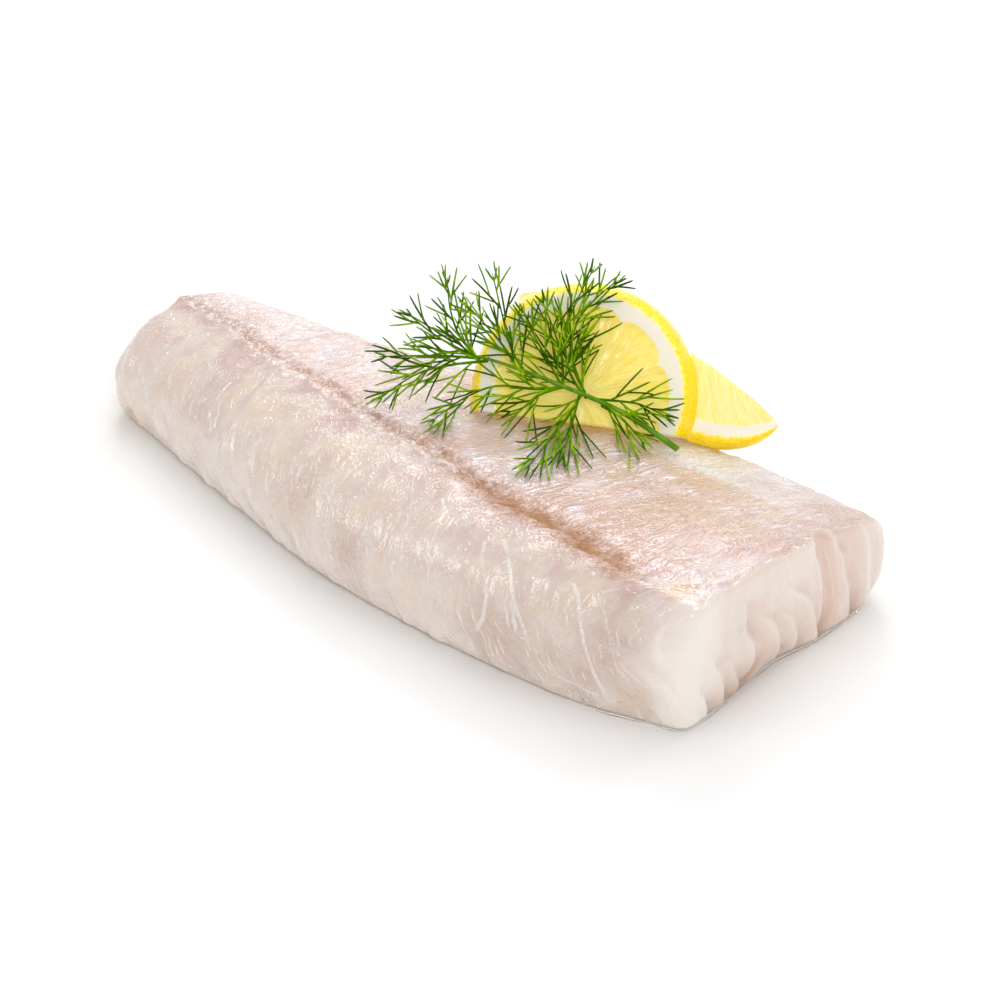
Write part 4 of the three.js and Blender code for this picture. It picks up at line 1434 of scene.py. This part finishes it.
@dataclass
class WaterRim:
    """Clear water gathered along the foot of the cut."""

    level: float = 0.9
    height: float = 0.3
    width: float = 0.9
    step: float = 1.2
    from_x: float = 84.0
    finish: PlainFinish = CLEAR_WATER

    def outline(self, loin: Piece) -> Array:
        """The fish's outline just above the board, as an ordered closed run of [x, y] in mm."""
        shape = bmesh.new()
        shape.from_mesh(loin.data)
        sliced = bmesh.ops.bisect_plane(
            shape,
            geom=[*shape.verts, *shape.edges, *shape.faces],
            plane_co=(0, 0, self.level * MM),
            plane_no=(0, 0, 1),
        )
        edges = {e for e in sliced["geom_cut"] if isinstance(e, bmesh.types.BMEdge)}
        loops = []
        while edges:
            edge = edges.pop()
            start, vert = edge.verts
            loop = [start.co.xy.copy(), vert.co.xy.copy()]
            while vert is not start:
                onward = next((e for e in vert.link_edges if e in edges), None)
                if onward is None:
                    break
                edges.remove(onward)
                vert = onward.other_vert(vert)
                loop.append(vert.co.xy.copy())
            loops.append(np.array(loop) / MM)
        shape.free()
        return max(loops, key=len)

    def build(self, loin: Piece) -> Piece:
        """Makes the rim of water as one low tube along the foot of the cut."""
        around = self.outline(loin)[:-1]
        start = int(np.argmin(around[:, 0]))
        around = np.roll(around, -start, axis=0)
        around = around[around[:, 0] > self.from_x]
        legs = np.linalg.norm(np.diff(around, axis=0), axis=1)
        reach = np.concatenate([[0], np.cumsum(legs)])
        count = int(reach[-1] / self.step)
        wanted = np.linspace(0, reach[-1], count)
        path = np.stack([np.interp(wanted, reach, around[:, k]) for k in (0, 1)], axis=1)
        for _ in range(2):
            path[1:-1] = (path[:-2] + path[1:-1] * 2 + path[2:]) / 4
        curve = tubes("water_rim", self.width, 3)
        flat = np.column_stack([path, np.zeros(count)])
        ends = ease(np.minimum(wanted, reach[-1] - wanted) / 8)
        widths = np.clip(0.35 + 0.75 * rough(flat, (9, 9, 9), 2.6), 0.1, 0.8) * (0.1 + 0.9 * ends)
        add_tube(curve, flat, widths)
        mesh = tube_mesh(curve)
        places = coordinates(mesh)
        places[:, 2] = np.maximum(places[:, 2] * self.height / self.width, 0.0) + 0.03
        move_to(mesh, places)
        mesh.shade_smooth()
        mesh.materials.append(self.finish.material())
        piece = linked("water_rim", mesh)
        piece.visible_shadow = False
        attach(piece, "root")
        return piece


# ---- the studio


@dataclass(frozen=True)
class Softbox:
    """One rectangular studio light."""

    name: str
    at: tuple  # metres
    size: tuple
    power: float
    colour: str = "#ffffff"

    def light(self, aim: Vector) -> None:
        """Hangs the light and turns it to the fish."""
        lamp = bpy.data.lights.new(self.name, "AREA")
        lamp.shape = "RECTANGLE"
        lamp.size, lamp.size_y = self.size
        lamp.energy = self.power
        lamp.color = linear(self.colour)[:3]
        hung = bpy.data.objects.new(self.name, lamp)
        hung.location = self.at
        hung.rotation_euler = (aim - Vector(self.at)).to_track_quat("-Z", "Y").to_euler()
        bpy.context.scene.collection.objects.link(hung)


@dataclass
class Studio:
    """White board, soft lights and the camera at the photograph's angle."""

    azimuth: float = 42.47
    elevation: float = 33.0
    distance: float = 0.8
    target: tuple = (0.0205, -0.0031, 0.0150)
    lens: float = 108.15
    world: float = 0.5
    lights: tuple = (
        Softbox("overhead", (-0.1, 0.2, 0.95), (0.6, 0.6), 2.9),
        Softbox("back_left", (-0.52, 0.56, 0.78), (0.4, 0.45), 2.1),
        Softbox("low_back", (-0.68, 0.92, 0.26), (0.5, 0.1), 0.9),
        Softbox("back_right", (0.2, 0.85, 0.6), (0.35, 0.12), 1.4),
        Softbox("front_left", (-0.62, -0.74, 0.42), (0.5, 0.4), 1.3),
        Softbox("front_right", (0.7, -0.45, 0.7), (0.3, 0.2), 2.2),
    )

    def board(self) -> Piece:
        """The white board under the fish."""
        shape = bmesh.new()
        bmesh.ops.create_grid(shape, x_segments=1, y_segments=1, size=3.0)
        mesh = bpy.data.meshes.new("white_board")
        shape.to_mesh(mesh)
        shape.free()
        mesh.materials.append(WHITE_ACRYLIC.material())
        board = linked("white_board", mesh)
        return board

    def camera(self) -> None:
        """The camera, at the photograph's angle and with its lens."""
        a, e = math.radians(self.azimuth), math.radians(self.elevation)
        back = Vector((math.sin(a) * math.cos(e), -math.cos(a) * math.cos(e), math.sin(e)))
        seen = bpy.data.cameras.new("camera")
        seen.sensor_width = 36.0
        seen.lens = self.lens
        seen.clip_start = 0.01
        camera = bpy.data.objects.new("camera", seen)
        camera.location = Vector(self.target) + back * self.distance
        camera.rotation_euler = (-back).to_track_quat("-Z", "Y").to_euler()
        bpy.context.scene.collection.objects.link(camera)
        bpy.context.scene.camera = camera

    def build(self) -> None:
        """Sets the board, the lights, the white surroundings and the camera."""
        self.board()
        for box in self.lights:
            box.light(Vector(self.target))
        world = bpy.data.worlds.new("white_room")
        world.use_nodes = True
        room = world.node_tree.nodes["Background"]
        room.inputs["Color"].default_value = linear("#ffffff")
        room.inputs["Strength"].default_value = self.world
        bpy.context.scene.world = world
        bpy.context.scene.view_settings.view_transform = "Standard"
        self.camera()


def triangles(piece: Piece) -> int:
    """Number of triangles of a piece's mesh."""
    piece.data.calc_loop_triangles()
    return len(piece.data.loop_triangles)


def main() -> None:
    """Builds every piece in order and reports it."""
    logging.basicConfig(level=logging.INFO, format="%(name)s: %(message)s")
    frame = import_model()
    nodes = frame["nodes"]
    loin = SaitheLoin().build(nodes["loin"])
    pieces = [loin]
    pieces.append(LemonSlice().build(nodes["lemon_slice"]))
    pieces.append(LemonWedge().build(nodes["lemon_wedge"]))
    pieces.append(DillSprig().build(loin))
    pieces.append(WaterRim().build(loin))
    for piece in pieces:
        LOG.info("%s: %d triangles", piece.name, triangles(piece))
    Studio().build()


if __name__ == "__main__":
    main()
